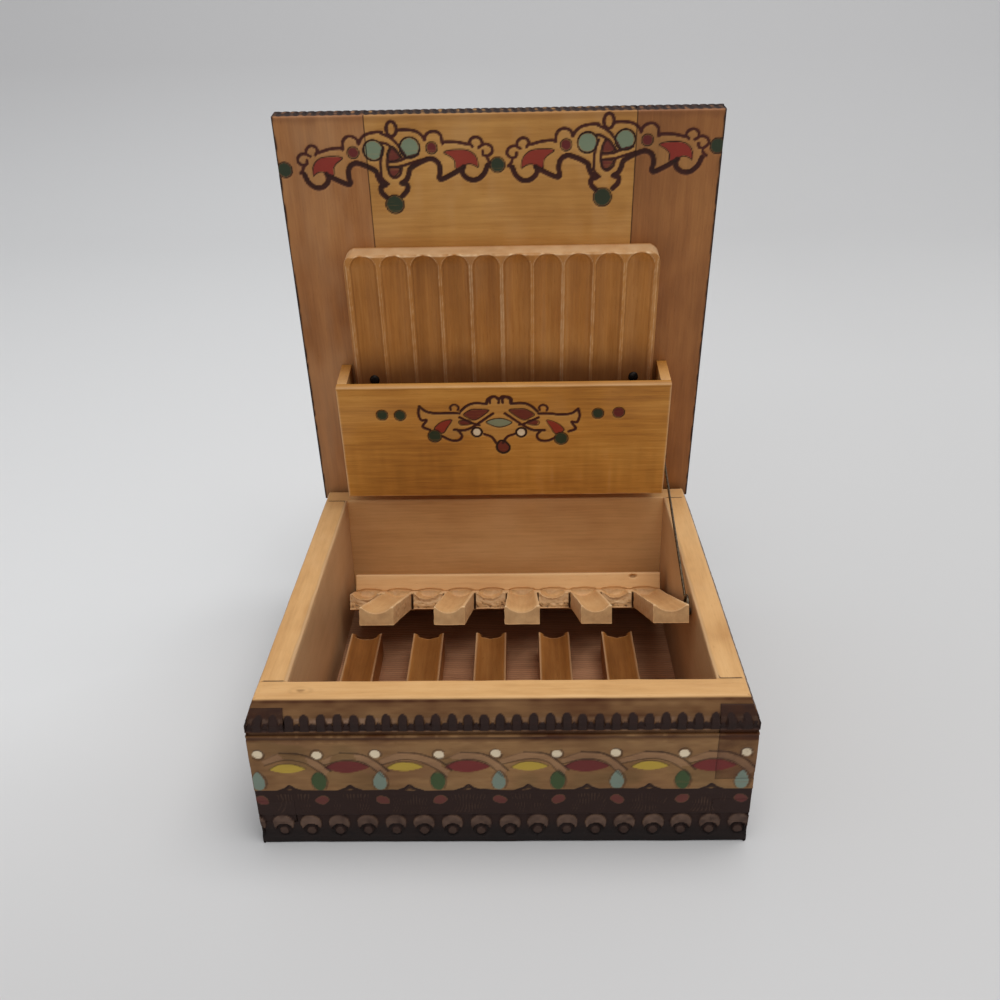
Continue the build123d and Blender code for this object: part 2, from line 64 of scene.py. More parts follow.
def turned(points, joint, degrees):
    """Points turned about a joint whose axis lies along X."""
    _, y, z = (value / MM for value in JOINTS[joint]["pos_m"])
    cos = math.cos(math.radians(degrees))
    sin = math.sin(math.radians(degrees))
    dy = points[:, 1] - y
    dz = points[:, 2] - z
    return columns(points[:, 0], y + dy * cos - dz * sin, z + dy * sin + dz * cos)


LID_OPEN = JOINTS["lid_hinge"]["range_deg"][1]
COMB_UP = JOINTS["comb_hinge"]["range_deg"][1]

BODY = node_points("front_wall")[:, 0].max()
HEIGHT = node_points("front_wall")[:, 2].max()
INNER = -node_points("left_wall")[:, 0].max()
FLOOR_TOP = node_points("floor_panel")[:, 2].max()
FLOOR_EDGE = node_points("floor_panel")[:, 0].max()
WALL = BODY - INNER

shut_panel = turned(node_points("lid_centre_panel"), "lid_hinge", LID_OPEN)
LID_BACK = shut_panel[:, 1].max()
LID_UNDERSIDE = shut_panel[:, 2].min()
LID_THICK = shut_panel[:, 2].max() - LID_UNDERSIDE
LID_LENGTH = LID_BACK - shut_panel[:, 1].min()


def off_lid(points):
    """The u, v and d of points on the open lid.

    u runs across, v up the open lid from its back edge, d from its inner face towards the viewer.
    """
    shut = turned(points, "lid_hinge", LID_OPEN)
    return columns(shut[:, 0], LID_BACK - shut[:, 1], LID_UNDERSIDE - shut[:, 2])


def lid_span(node):
    """A node's lowest and highest u, v and d."""
    places = off_lid(node_points(node))
    return places.min(0), places.max(0)


def on_lid(u, v, d):
    """Points of the open lid, from their u, v and d."""
    u, v, d = np.broadcast_arrays(u, v, d)
    shut = columns(u, LID_BACK - v, LID_UNDERSIDE - d)
    return turned(shut, "lid_hinge", -LID_OPEN)


def on_comb(x, y, z):
    """Points of the raised comb, from where they lie when it is lowered."""
    x, y, z = np.broadcast_arrays(x, y, z)
    return turned(columns(x, y, z), "comb_hinge", -COMB_UP)


def off_comb(points):
    """Where points of the raised comb lie when it is lowered."""
    return turned(points, "comb_hinge", COMB_UP)


# Sizes that the carved surfaces add, in millimetres
FLARE = 2.9
FLARE_HEIGHT = 7.0
GROOVE_TOP = HEIGHT - 9.2
GROOVE_WIDTH = 1.2
GROOVE_DEPTH = 0.6
FINGERS = {
    "left": ((HEIGHT - 40.5, HEIGHT - 32.7), (HEIGHT - 9.3, HEIGHT - 2.6)),
    "right": ((HEIGHT - 40.5, HEIGHT - 32.7), (HEIGHT - 25.5, HEIGHT - 2.3)),
}

# Noise, ramps and distances
SOFT_EDGE = 0.22
LATTICE = 97


def srgb(red, green, blue):
    """A colour as it looks on screen, turned to the linear values that shaders use."""
    values = np.array([red, green, blue]) / 255
    linear = np.where(values <= 0.04045, values / 12.92, ((values + 0.055) / 1.055) ** 2.4)
    return (*linear, 1.0)


def bumps(x, y, size, seed):
    """Smooth noise from -1 to 1 whose bumps are about one size apart."""
    lattice = np.random.default_rng(seed).uniform(-1, 1, (LATTICE, LATTICE))
    x = np.asarray(x) / size
    y = np.asarray(y) / size
    i = np.floor(x).astype(int)
    j = np.floor(y).astype(int)
    p = (x - i) ** 2 * (3 - 2 * (x - i))
    q = (y - j) ** 2 * (3 - 2 * (y - j))
    low, high = (
        lattice[i % LATTICE, row % LATTICE] * (1 - p) + lattice[(i + 1) % LATTICE, row % LATTICE] * p
        for row in (j, j + 1)
    )
    return low * (1 - q) + high * q


def ramp(value, low, high):
    """0 below low, 1 above high, smooth between."""
    t = np.clip((value - low) / (high - low), 0, 1)
    return t * t * (3 - 2 * t)


def rounding(distance, radius):
    """How far a rounded edge falls away at a distance from the edge."""
    inward = np.clip(radius - distance, 0, radius)
    return radius - np.sqrt(radius**2 - inward**2)


def peak(value, middle, width):
    """1 where a value is at the middle, and near 0 from two widths on."""
    return np.exp(-(((value - middle) / width) ** 2))


def within(distance, edge=SOFT_EDGE):
    """1 where a distance is below zero, 0 where it is above, over a soft edge."""
    return np.clip(0.5 - distance / edge, 0, 1)


def rectangle(low, high):
    return np.array([(low[0], low[1]), (high[0], low[1]), (high[0], high[1]), (low[0], high[1])])


def beside(places, shifts):
    """Every place moved by every shift."""
    return [place + shift for place in places for shift in shifts]


def from_ends(low, high, gaps):
    """Places at each gap inward from both ends."""
    return [low + gap for gap in gaps] + [high - gap for gap in gaps]


def arc(u, v, across, up, start, end, count):
    """Points along part of an oval."""
    return [(u + across * math.cos(t), v + up * math.sin(t)) for t in np.linspace(start, end, count)]


def curve(points, closed=False):
    """A smooth line through the points, as many close points."""
    points = np.array(points, float)
    if closed:
        ring = np.vstack([points[-1:], points, points[:2]])
        spans = len(points)
    else:
        before = 2 * points[:1] - points[1:2]
        after = 2 * points[-1:] - points[-2:-1]
        ring = np.vstack([before, points, after])
        spans = len(points) - 1
    line = []
    for k in range(spans):
        p0, p1, p2, p3 = ring[k : k + 4]
        count = max(2, int(np.hypot(*(p2 - p1)) / 0.15))
        t = np.linspace(0, 1, count, endpoint=False)[:, None]
        bend = 2 * p0 - 5 * p1 + 4 * p2 - p3
        twist = 3 * p1 - p0 - 3 * p2 + p3
        line.append(0.5 * (2 * p1 + (p2 - p0) * t + bend * t**2 + twist * t**3))
    line.append(ring[spans : spans + 1] if closed else points[-1:])
    return np.vstack(line)


def inside(p, q, outline):
    """Whether each point lies inside a closed outline."""
    result = np.zeros(np.shape(p), bool)
    for (a, b), (c, d) in zip(outline, np.roll(outline, -1, axis=0)):
        if b != d:
            crosses = (b > q) != (d > q)
            result ^= crosses & (p < (c - a) * (q - b) / (d - b) + a)
    return result


def edge_distance(p, q, outline):
    """How far each point lies from a closed outline."""
    nearest = np.full(np.shape(p), np.inf)
    for (a, b), (c, d) in zip(outline, np.roll(outline, -1, axis=0)):
        length = (c - a) ** 2 + (d - b) ** 2
        if length > 0:
            t = np.clip(((p - a) * (c - a) + (q - b) * (d - b)) / length, 0, 1)
            nearest = np.minimum(nearest, np.hypot(p - a - t * (c - a), q - b - t * (d - b)))
    return nearest


# Paint, burning, tone and carved depth on one surface
class Marks:
    def __init__(self, u, v):
        self.u = np.asarray(u, float)
        self.v = np.asarray(v, float)
        self.paint = np.zeros((len(self.u), 4))
        self.burn, self.tone, self.depth = np.zeros((3, len(self.u)))

    def near(self, low, high, reach):
        """The points in a box grown by a reach."""
        wide = (self.u > low[0] - reach) & (self.u < high[0] + reach)
        tall = (self.v > low[1] - reach) & (self.v < high[1] + reach)
        return np.flatnonzero(wide & tall)

    def cover(self, where, amount, colour):
        """Lay paint of one colour, as thick as the amount."""
        takes = amount >= self.paint[where, 3]
        self.paint[where[takes], :3] = colour[:3]
        self.paint[where, 3] = np.maximum(self.paint[where, 3], amount)

    def wash(self, amount, colour):
        """Lay paint of one colour everywhere."""
        self.cover(np.arange(len(self.u)), amount, colour)

    def char(self, amount):
        self.burn = np.maximum(self.burn, amount)

    def press(self, depth):
        self.depth = np.maximum(self.depth, depth)

    def scorch(self, where, amount, burn, depth):
        """Burn and press in."""
        self.burn[where] = np.maximum(self.burn[where], amount * burn)
        self.depth[where] = np.maximum(self.depth[where], amount * depth)

    def band(self, distance, half, burn, depth):
        """A burnt groove where a distance is less than half its width."""
        amount = within(np.abs(distance) - half, 0.25)
        self.char(amount * burn)
        self.press(amount * depth)

    def line(self, points, width, burn=0.9, depth=0.2, closed=False, colour=None):
        """A burnt line along a smooth curve, stained with a colour if one is given."""
        path = curve(points, closed)
        where = self.near(path.min(0), path.max(0), width + 0.5)
        u = self.u[where][:, None] - path[:, 0]
        v = self.v[where][:, None] - path[:, 1]
        amount = within(np.sqrt((u * u + v * v).min(1)) - width / 2)
        if colour is not None:
            self.cover(where, amount, colour)
        self.scorch(where, amount, burn, depth)

    def fill(self, points, colour, strength=1.0, smooth=True, edge=0.0, depth=0.1):
        """A painted shape inside a smooth outline, with a burnt edge line if one is asked for."""
        outline = curve(points, True) if smooth else np.array(points, float)
        where = self.near(outline.min(0), outline.max(0), 0.6)
        u = self.u[where]
        v = self.v[where]
        thinned = outline[::2] if smooth else outline
        amount = within(edge_distance(u, v, thinned) * np.where(inside(u, v, thinned), -1, 1))
        self.cover(where, amount * strength, colour)
        self.depth[where] = np.maximum(self.depth[where], amount * depth)
        if edge > 0:
            self.line(points, edge, closed=True)

    def dot(self, u, v, across, up, colour, ring=0.0, depth=0.25):
        """A round or oval dot of paint in a shallow dent, with a burnt ring round it."""
        where = self.near((u, v), (u, v), max(across, up) + ring + 0.5)
        reach = np.hypot((self.u[where] - u) / across, (self.v[where] - v) / up)
        signed = (reach - 1) * min(across, up)
        amount = within(signed)
        self.cover(where, amount, colour)
        self.burn[where] *= 1 - 0.9 * amount
        self.depth[where] = np.maximum(self.depth[where], amount * depth)
        if ring > 0:
            self.scorch(where, within(np.abs(signed - ring / 2) - ring / 2), 0.95, depth)


def no_marks(count):
    return Marks(np.zeros(count), np.zeros(count))


SHOWN = ("paint", "burn", "tone")


# Boards as closed meshes
SAME_PLACE = 0.004


def grid_lines(low, high, step, keep=()):
    """Grid lines about one step apart, with each kept line in its place."""
    marks = [low]
    for line in sorted(keep):
        if marks[-1] + SAME_PLACE < line < high - SAME_PLACE:
            marks.append(line)
    marks.append(high)
    lines = [low]
    for a, b in zip(marks, marks[1:]):
        count = max(1, round((b - a) / step))
        lines.extend(np.linspace(a, b, count + 1)[1:])
    return np.array(lines)


class Sheet:
    """The points and faces of a grid that fills an outline with square corners."""

    def __init__(self, outline, ps, qs):
        p_mid, q_mid = np.meshgrid((ps[1:] + ps[:-1]) / 2, (qs[1:] + qs[:-1]) / 2, indexing="ij")
        owned = inside(p_mid, q_mid, outline)
        used = np.zeros((len(ps), len(qs)), bool)
        for i in (0, 1):
            for j in (0, 1):
                used[i : i + len(ps) - 1, j : j + len(qs) - 1] |= owned
        index = np.full(used.shape, -1)
        index[used] = np.arange(used.sum())
        p, q = np.meshgrid(ps, qs, indexing="ij")
        self.p = p[used]
        self.q = q[used]
        i, j = np.nonzero(owned)
        corners = [index[i, j], index[i + 1, j], index[i + 1, j + 1], index[i, j + 1]]
        self.faces = np.stack(corners, axis=1)
        self.loop, self.along = self.walk(outline, ps, qs, index)

    @staticmethod
    def walk(outline, ps, qs, index):
        """The border's points in order, and how far round the outline each one is, from 0 to 1."""
        loop = []
        reach = [0.0]
        for (a, b), (c, d) in zip(outline, np.roll(outline, -1, axis=0)):
            i, k = (int(np.abs(ps - value).argmin()) for value in (a, c))
            j, m = (int(np.abs(qs - value).argmin()) for value in (b, d))
            steps = max(abs(k - i), abs(m - j))
            for t in range(steps):
                here = (i + (k - i) * t // steps, j + (m - j) * t // steps)
                there = (i + (k - i) * (t + 1) // steps, j + (m - j) * (t + 1) // steps)
                loop.append(index[here])
                step = math.hypot(ps[there[0]] - ps[here[0]], qs[there[1]] - qs[here[1]])
                reach.append(reach[-1] + step)
        return np.array(loop), np.array(reach[:-1]) / reach[-1]


def zip_loops(a, a_along, b, b_along):
    """Triangles between two closed loops that run side by side."""
    faces = []
    i = j = 0
    a_next = np.append(a_along[1:], 1.0)
    b_next = np.append(b_along[1:], 1.0)
    while i < len(a) or j < len(b):
        if j >= len(b) or (i < len(a) and a_next[i] <= b_next[j]):
            faces.append((a[i], b[j % len(b)], a[(i + 1) % len(a)]))
            i += 1
        else:
            faces.append((a[i % len(a)], b[j], b[(j + 1) % len(b)]))
            j += 1
    return faces


def board(outline, front, back, step, back_step, keep=((), ()), back_keep=((), ()), rows=0, rim=None):
    """A closed board: a front sheet, a back sheet and the edge between them.

    front and back take grid points p, q and give places and marks. rim moves the rows of
    points between the two sheets.
    """
    outline = np.array(outline, float)
    sheets = []
    for sizes, kept in ((step, keep), (back_step, back_keep)):
        lines = [
            grid_lines(values.min(), values.max(), size, (*values, *extra))
            for values, size, extra in zip(outline.T, sizes, kept)
        ]
        sheets.append(Sheet(outline, *lines))
    near, far = sheets
    near_places, near_marks = front(near.p, near.q)
    far_places, far_marks = back(far.p, far.q)
    places = [near_places, far_places]
    marks = [near_marks, far_marks]
    count = len(near.p)
    faces = [*map(tuple, near.faces), *map(tuple, count + far.faces[:, ::-1])]
    ring = near.loop
    total = count + len(far.p)
    round_again = np.append(far.loop, far.loop[0])
    along = np.append(far.along, 1.0)

    def facing(values):
        """The far edge's values, opposite each point of the near edge."""
        found = [np.interp(near.along, along, row) for row in values[round_again].reshape(len(along), -1).T]
        return columns(*found).reshape(len(near.loop), *values.shape[1:])

    for row in range(1, rows + 1):
        share = row / (rows + 1)
        row_places = near_places[near.loop] * (1 - share) + facing(far_places) * share
        row_marks = no_marks(len(ring))
        for name in SHOWN:
            near_value = getattr(near_marks, name)[near.loop]
            setattr(row_marks, name, near_value * (1 - share) + facing(getattr(far_marks, name)) * share)
        if rim:
            row_places = rim(near.p[near.loop], near.q[near.loop], share, row_places, row_marks)
        places.append(row_places)
        marks.append(row_marks)
        new_ring = total + np.arange(len(near.loop))
        faces.extend(zip(ring, new_ring, np.roll(new_ring, -1), np.roll(ring, -1)))
        ring = new_ring
        total += len(near.loop)
    faces.extend(zip_loops(ring, near.along, count + far.loop, far.along))
    joined = {name: np.concatenate([getattr(mark, name) for mark in marks]) for name in SHOWN}
    return np.concatenate(places), faces, joined


def new_object(name, data):
    """An object in the scene that shows the data."""
    shown = bpy.data.objects.new(name, data)
    bpy.context.scene.collection.objects.link(shown)
    return shown


def make_piece(name, made, grain, material, body, nodes, sharp=40):
    """A mesh object from what board gives, riding on a body and standing for CAD nodes.

    grain gives each point's place along, across and into the board's timber.
    """
    places, faces, marks = made
    mesh = bpy.data.meshes.new(name)
    mesh.from_pydata((places * MM).tolist(), [], [tuple(map(int, face)) for face in faces])
    mesh.validate()
    if signed_volume(mesh) < 0:
        mesh.flip_normals()
    mesh.polygons.foreach_set("use_smooth", [True] * len(mesh.polygons))
    mesh.set_sharp_from_angle(angle=math.radians(sharp))
    store(mesh, "grain", "FLOAT_VECTOR", "vector", grain(places) * MM)
    store(mesh, "paint", "FLOAT_COLOR", "color", marks["paint"])
    for mark in ("burn", "tone"):
        store(mesh, mark, "FLOAT", "value", marks[mark])
    mesh.materials.append(material)
    piece = new_object(name, mesh)
    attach(piece, body)
    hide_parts(*nodes)
    return piece


def store(mesh, name, kind, key, values):
    layer = mesh.attributes.new(name, kind, "POINT")
    layer.data.foreach_set(key, np.asarray(values, np.float32).ravel())


def signed_volume(mesh):
    """The volume inside a closed mesh, below zero where its faces look inward."""
    mesh.calc_loop_triangles()
    corners = np.zeros(len(mesh.loop_triangles) * 3, int)
    mesh.loop_triangles.foreach_get("vertices", corners)
    points = np.zeros(len(mesh.vertices) * 3)
    mesh.vertices.foreach_get("co", points)
    a, b, c = points.reshape(-1, 3)[corners.reshape(-1, 3)].transpose(1, 0, 2)
    return (a * np.cross(b, c)).sum() / 6


# Materials
def add(tree, kind, inputs=(), **settings):
    """A node with its settings and inputs, which are sockets or plain values."""
    node = tree.nodes.new(kind)
    for key, value in settings.items():
        setattr(node, key, value)
    for key, value in dict(inputs).items():
        if isinstance(value, bpy.types.NodeSocket):
            tree.links.new(value, node.inputs[key])
        else:
            node.inputs[key].default_value = value
    return node


def maths(tree, operation, a, b=0.0, clamp=False):
    node = add(tree, "ShaderNodeMath", {0: a, 1: b}, operation=operation, use_clamp=clamp)
    return node.outputs[0]


def times(tree, value, factor):
    return maths(tree, "MULTIPLY", value, factor)


def plus(tree, value, other, share):
    """A value with a share of another one added."""
    return maths(tree, "ADD", value, times(tree, other, share))


def wave(tree, place, pitch, distortion, inputs=(), **settings):
    """Bands or rings that repeat every pitch millimetres."""
    inputs = {
        "Vector": place,
        "Scale": 2 * math.pi / (20 * pitch * MM),
        "Distortion": distortion,
        "Detail": 2.0,
        **dict(inputs),
    }
    return add(tree, "ShaderNodeTexWave", inputs, **settings).outputs["Fac"]


def blend(tree, amount, a, b, mode="MIX"):
    inputs = {0: amount, 6: a, 7: b}
    return add(tree, "ShaderNodeMix", inputs, data_type="RGBA", blend_type=mode).outputs[2]


def spread(tree, value, low, high, to_low=0.0, to_high=1.0):
    """A value taken from one range to another and kept in it."""
    inputs = {0: value, 1: low, 2: high, 3: to_low, 4: to_high}
    return add(tree, "ShaderNodeMapRange", inputs).outputs[0]


def noise(tree, place, stretch, detail=3.0, rough=0.55):
    """Noise whose bumps per metre along, across and into the timber are given by stretch."""
    scaled = add(tree, "ShaderNodeVectorMath", {0: place, 1: stretch}, operation="MULTIPLY")
    inputs = {"Vector": scaled.outputs[0], "Scale": 1.0, "Detail": detail, "Roughness": rough}
    return add(tree, "ShaderNodeTexNoise", inputs)


def attribute(tree, name, output):
    return add(tree, "ShaderNodeAttribute", attribute_name=name).outputs[output]


DULL_SPECULAR = 0.28


def new_material(name, roughness, metallic=0.0):
    material = bpy.data.materials.new(name)
    material.use_nodes = True
    shader = material.node_tree.nodes["Principled BSDF"]
    shader.inputs["Roughness"].default_value = roughness
    shader.inputs["Metallic"].default_value = metallic
    shader.inputs["Specular IOR Level"].default_value = 0.5 if metallic else DULL_SPECULAR
    return material, material.node_tree, shader


BURNT_AND_SHADE_BROWN = srgb(44, 24, 17)
CHARRED = srgb(20, 15, 13)
# The colours that tone darkens and pales towards: stains and wear, and also painted shade and painted light.
STAIN_AND_SHADE_TINT = (0.11, 0.047, 0.0, 1.0)
WORN_AND_LIT_PALE = srgb(236, 200, 154)


def ring_figure(tree, place, pitch):
    """Growth rings round a pith deep below the board, waved along the timber."""
    drift = noise(tree, place, (9.0, 60.0, 60.0), 2.0).outputs["Color"]
    centred = add(tree, "ShaderNodeVectorMath", {0: drift, 1: (0.5, 0.5, 0.5)}, operation="SUBTRACT")
    pushed = add(
        tree,
        "ShaderNodeVectorMath",
        {0: centred.outputs[0], 1: (0.0, 0.009, 0.009), 2: place},
        operation="MULTIPLY_ADD",
    )
    inputs = {0: pushed.outputs[0], 1: (0.0, 0.013, PITH_DEPTH * MM)}
    moved = add(tree, "ShaderNodeVectorMath", inputs, operation="ADD")
    fine = {"Detail Scale": 0.5}
    return wave(tree, moved.outputs[0], pitch, 2.5, fine, wave_type="RINGS", rings_direction="X")


PITH_DEPTH = 45.0
RIB_PITCH = 1.2
WOOD_ROUGH = 0.5


def wood(name, colours, pitch, figure, fibre=0.4, streak=0.5, marked=True, ribs=0.0):
    """Solid timber: growth rings, fibres, pores and stains, with the piece's marks laid over.

    colours are pale, middle and dark, and pitch is the spacing of the growth rings in
    millimetres. A piece that is marked carries attributes for its paint, burning and tone.
    """
    pale, middle, dark = (srgb(*colour) for colour in colours)
    material, tree, shader = new_material(name, WOOD_ROUGH)
    if marked:
        place = attribute(tree, "grain", "Vector")
    else:
        place = add(tree, "ShaderNodeTexCoord").outputs["Object"]
    rings = ring_figure(tree, place, pitch)
    fibres = noise(tree, place, (80.0, 1500.0, 1500.0), 4.0, 0.6).outputs["Fac"]
    streaks = noise(tree, place, (16.0, 260.0, 260.0), 3.0, 0.6).outputs["Fac"]
    pores = noise(tree, place, (400.0, 3600.0, 3600.0), 1.0).outputs["Fac"]
    stains = noise(tree, place, (26.0, 38.0, 38.0), 3.0, 0.6).outputs["Fac"]
    pore_mask = spread(tree, pores, 0.64, 0.76)
    value = times(tree, rings, figure)
    value = plus(tree, value, fibres, fibre)
    value = plus(tree, value, streaks, streak)
    value = plus(tree, value, stains, 0.9)
    middle_value = (figure + fibre + streak + 0.9) / 2
    low = spread(tree, value, middle_value - 0.4, middle_value)
    high = spread(tree, value, middle_value, middle_value + 0.4)
    colour = blend(tree, low, pale, middle)
    colour = blend(tree, high, colour, dark)
    colour = blend(tree, times(tree, pore_mask, 0.3), colour, dark)
    sheen = maths(tree, "ADD", times(tree, stains, 0.22), WOOD_ROUGH - 0.11)
    if marked:
        colour, burnt = lay_marks(tree, colour, fibres, streaks, stains)
        sheen = plus(tree, sheen, burnt, 0.2)
    tree.links.new(colour, shader.inputs["Base Color"])
    sheen = maths(tree, "ADD", sheen, times(tree, pore_mask, 0.15), clamp=True)
    tree.links.new(sheen, shader.inputs["Roughness"])
    height = maths(tree, "ADD", times(tree, fibres, 0.8), times(tree, streaks, 0.5))
    height = maths(tree, "SUBTRACT", height, times(tree, pore_mask, 0.3))
    if ribs > 0:
        sawn = wave(tree, place, RIB_PITCH, 3.0, wave_type="BANDS", bands_direction="Y")
        height = plus(tree, height, sawn, ribs)
        ribbed = blend(tree, times(tree, sawn, 0.45), colour, dark)
        along = add(tree, "ShaderNodeSeparateXYZ", {0: place}).outputs[1]
        # Painted shade on the floor under the comb, growing darker towards the back.
        painted_shade_under_comb = spread(tree, along, 12 * MM, 30 * MM, 0.0, 0.4)
        ribbed = blend(tree, painted_shade_under_comb, ribbed, BURNT_AND_SHADE_BROWN)
        tree.links.new(ribbed, shader.inputs["Base Color"])
    inputs = {"Strength": 0.5, "Distance": 0.12 * MM, "Height": height}
    bump = add(tree, "ShaderNodeBump", inputs)
    tree.links.new(bump.outputs["Normal"], shader.inputs["Normal"])
    return material


def lay_marks(tree, colour, fibres, streaks, stains):
    """Tone, burning and worn paint over the bare timber's colour; tone darkens for stains and painted shade,
    and pales for wear and painted highlights.
    """
    tone = attribute(tree, "tone", "Fac")
    colour = blend(tree, spread(tree, tone, 0.0, 1.0), colour, STAIN_AND_SHADE_TINT, "MULTIPLY")
    colour = blend(tree, spread(tree, tone, 0.0, -1.0), colour, WORN_AND_LIT_PALE)
    burn = attribute(tree, "burn", "Fac")
    uneven = times(tree, maths(tree, "SUBTRACT", streaks, 0.5), 0.5)
    burnt = spread(tree, maths(tree, "ADD", burn, uneven), 0.04, 0.8)
    burnt = times(tree, burnt, spread(tree, burn, 0.0, 0.12))
    paint = attribute(tree, "paint", "Color")
    cover = attribute(tree, "paint", "Alpha")
    worn = spread(tree, maths(tree, "ADD", fibres, streaks), 1.4, 1.15, 0.5, 1.0)
    brushed = blend(tree, times(tree, stains, 0.4), paint, srgb(48, 34, 26))
    painted = blend(tree, times(tree, cover, worn), colour, brushed)
    darkened = blend(tree, burnt, painted, BURNT_AND_SHADE_BROWN)
    return blend(tree, spread(tree, burn, 1.0, 1.5), darkened, CHARRED), burnt


def steel(name, pale, dark, rough):
    """Drawn steel with a dull, slightly tarnished skin."""
    pale = srgb(*pale)
    dark = srgb(*dark)
    material, tree, shader = new_material(name, rough, 1.0)
    place = add(tree, "ShaderNodeTexCoord").outputs["Object"]
    tarnish = noise(tree, place, (900.0, 900.0, 900.0), 4.0).outputs["Fac"]
    scratches = noise(tree, place, (5000.0, 500.0, 500.0), 2.0).outputs["Fac"]
    colour = blend(tree, spread(tree, tarnish, 0.35, 0.7), pale, dark)
    tree.links.new(colour, shader.inputs["Base Color"])
    tree.links.new(spread(tree, tarnish, 0.3, 0.7, rough - 0.1, rough + 0.2), shader.inputs["Roughness"])
    bump = add(tree, "ShaderNodeBump", {"Strength": 0.3, "Distance": 0.03 * MM, "Height": scratches})
    tree.links.new(bump.outputs["Normal"], shader.inputs["Normal"])
    return material


WALL_WOOD = wood("wall_timber", ((234, 189, 130), (218, 169, 110), (190, 139, 83)), 1.5, 0.06)
PANEL_WOOD = wood("lid_panel_timber", ((216, 162, 88), (192, 137, 68), (162, 107, 48)), 2.2, 0.06)
STILE_WOOD = wood("lid_stile_timber", ((190, 130, 72), (164, 107, 58), (128, 80, 43)), 3.2, 0.05)
POCKET_WOOD = wood("pocket_timber", ((222, 162, 78), (196, 134, 56), (154, 97, 38)), 2.4, 0.05, 0.6, 0.6)
FLUTED_WOOD = wood("fluted_timber", ((212, 150, 80), (184, 122, 56), (148, 92, 40)), 1.6, 0.04)
RAIL_WOOD = wood("rail_timber", ((200, 142, 76), (170, 112, 54), (128, 78, 36)), 2.0, 0.05)
COMB_WOOD = wood("comb_timber", ((236, 194, 138), (220, 172, 116), (192, 140, 88)), 1.6, 0.05)
PLY_COLOURS = ((238, 182, 138), (210, 156, 116), (154, 110, 80))
PLY_WOOD = wood("floor_timber", PLY_COLOURS, 3.0, 0.1, marked=False, ribs=1.2)
STEEL = steel("drawn_steel", (150, 146, 140), (84, 76, 68), 0.4)
DARK_STEEL = steel("dark_steel", (60, 54, 50), (30, 26, 24), 0.55)
WIRE_STEEL = steel("wire_steel", (128, 116, 96), (62, 54, 44), 0.35)

CREAM = srgb(255, 234, 198)
OCHRE = srgb(202, 168, 62)
OXBLOOD = srgb(116, 40, 36)
RED = srgb(158, 46, 36)
DULL_RED = srgb(124, 42, 38)
CRIMSON = srgb(104, 38, 40)
MAROON = srgb(104, 40, 26)
ASH_BROWN = srgb(122, 94, 78)
ASH_PINK = srgb(176, 142, 120)
GREEN = srgb(48, 62, 40)
LEAF_GREEN = srgb(64, 86, 46)
TEAL = srgb(138, 154, 124)
SLATE = srgb(132, 148, 132)
PINK_TAN = srgb(196, 154, 124)
PALE_GOLD = srgb(216, 164, 92)
RUSSET = srgb(112, 58, 36)
GREYED = srgb(204, 174, 142)


# Walls, carved and painted outside
CORNER_ROUND = 0.45
REACH = BODY + WALL
PEG_PITCH = 4.3
PEG_HALF = 1.2
PEG_TOP = 4.2
PEG_FOOT = 9.0
BAND_TOP = 28.9
RED_DOTS = 32.4
UNIT = 16.3
SCALLOP_PITCH = 7.9
SCALLOP_FIRST = -61.3
FACE_TURNS = {"front": 0, "right": 1, "back": 2, "left": 3}
KNOT_PLACE = (-53.0, 3.2)


def flare_inset(z):
    return FLARE * np.clip((z - (HEIGHT - FLARE_HEIGHT)) / FLARE_HEIGHT, 0, 1)


def carve_pegs(marks, a, drop):
    """The row of dark round-topped pegs under the rim, with chipped gaps between."""
    index = np.round(a / PEG_PITCH)
    offset = a - index * PEG_PITCH + 0.2 * bumps(index, 0 * a, 1.7, 14)
    top = PEG_TOP + 1.5 * PEG_HALF + 0.25 * bumps(index, 0 * a, 1.3, 15)
    narrowed = offset / (0.86 + 0.16 * np.clip((drop - PEG_TOP) / 3.0, 0, 1))
    peg = np.hypot(narrowed, np.minimum(drop - top, 0) / 1.5) - PEG_HALF - 0.1 * bumps(a, drop, 1.1, 4)
    in_row = ramp(drop, PEG_TOP - 0.2, PEG_TOP + 0.6) * (1 - ramp(drop, PEG_FOOT - 0.2, PEG_FOOT))
    outside = ramp(peg, -0.1, 0.15)
    arch = np.hypot((np.abs(offset) - PEG_PITCH / 2) / 1.15, (drop - 9.3) / 2.7)
    in_arch = 1 - ramp(arch + 0.1 * bumps(a, drop, 0.9, 29), 0.85, 1.05)
    gap_depth = (0.2 + 0.9 * np.clip((drop - PEG_TOP - 0.7) / 2.4, 0, 1)) * outside * in_row
    marks.press(gap_depth * (1 - 0.55 * in_arch))
    dark_row = ramp(drop, PEG_TOP - 0.3, PEG_TOP) * (1 - ramp(drop, PEG_FOOT, PEG_FOOT + 0.15))
    rim_dark = peak(peg, 0, 0.2) * in_row
    dark = np.maximum.reduce([(1 - outside) * dark_row, in_arch * dark_row, rim_dark * 0.8])
    marks.char(dark * (1.05 + 0.12 * bumps(a, drop, 1.4, 30)))
    chipped = ramp(bumps(a, drop, 0.8, 16) + 0.6 * bumps(index, 0 * a, 1.5, 31), -0.4, 0.7)
    gap = outside * in_row * (1 - in_arch) * ramp(drop, PEG_TOP + 0.9, PEG_TOP + 1.5)
    marks.tone -= 0.04 * gap
    paler = 0.62 - 0.42 * ramp(a, -44.0, -16.0) + 0.22 * ramp(a, 35.0, 60.0)
    marks.wash(paler * gap * (0.35 + 0.65 * chipped), ASH_PINK)


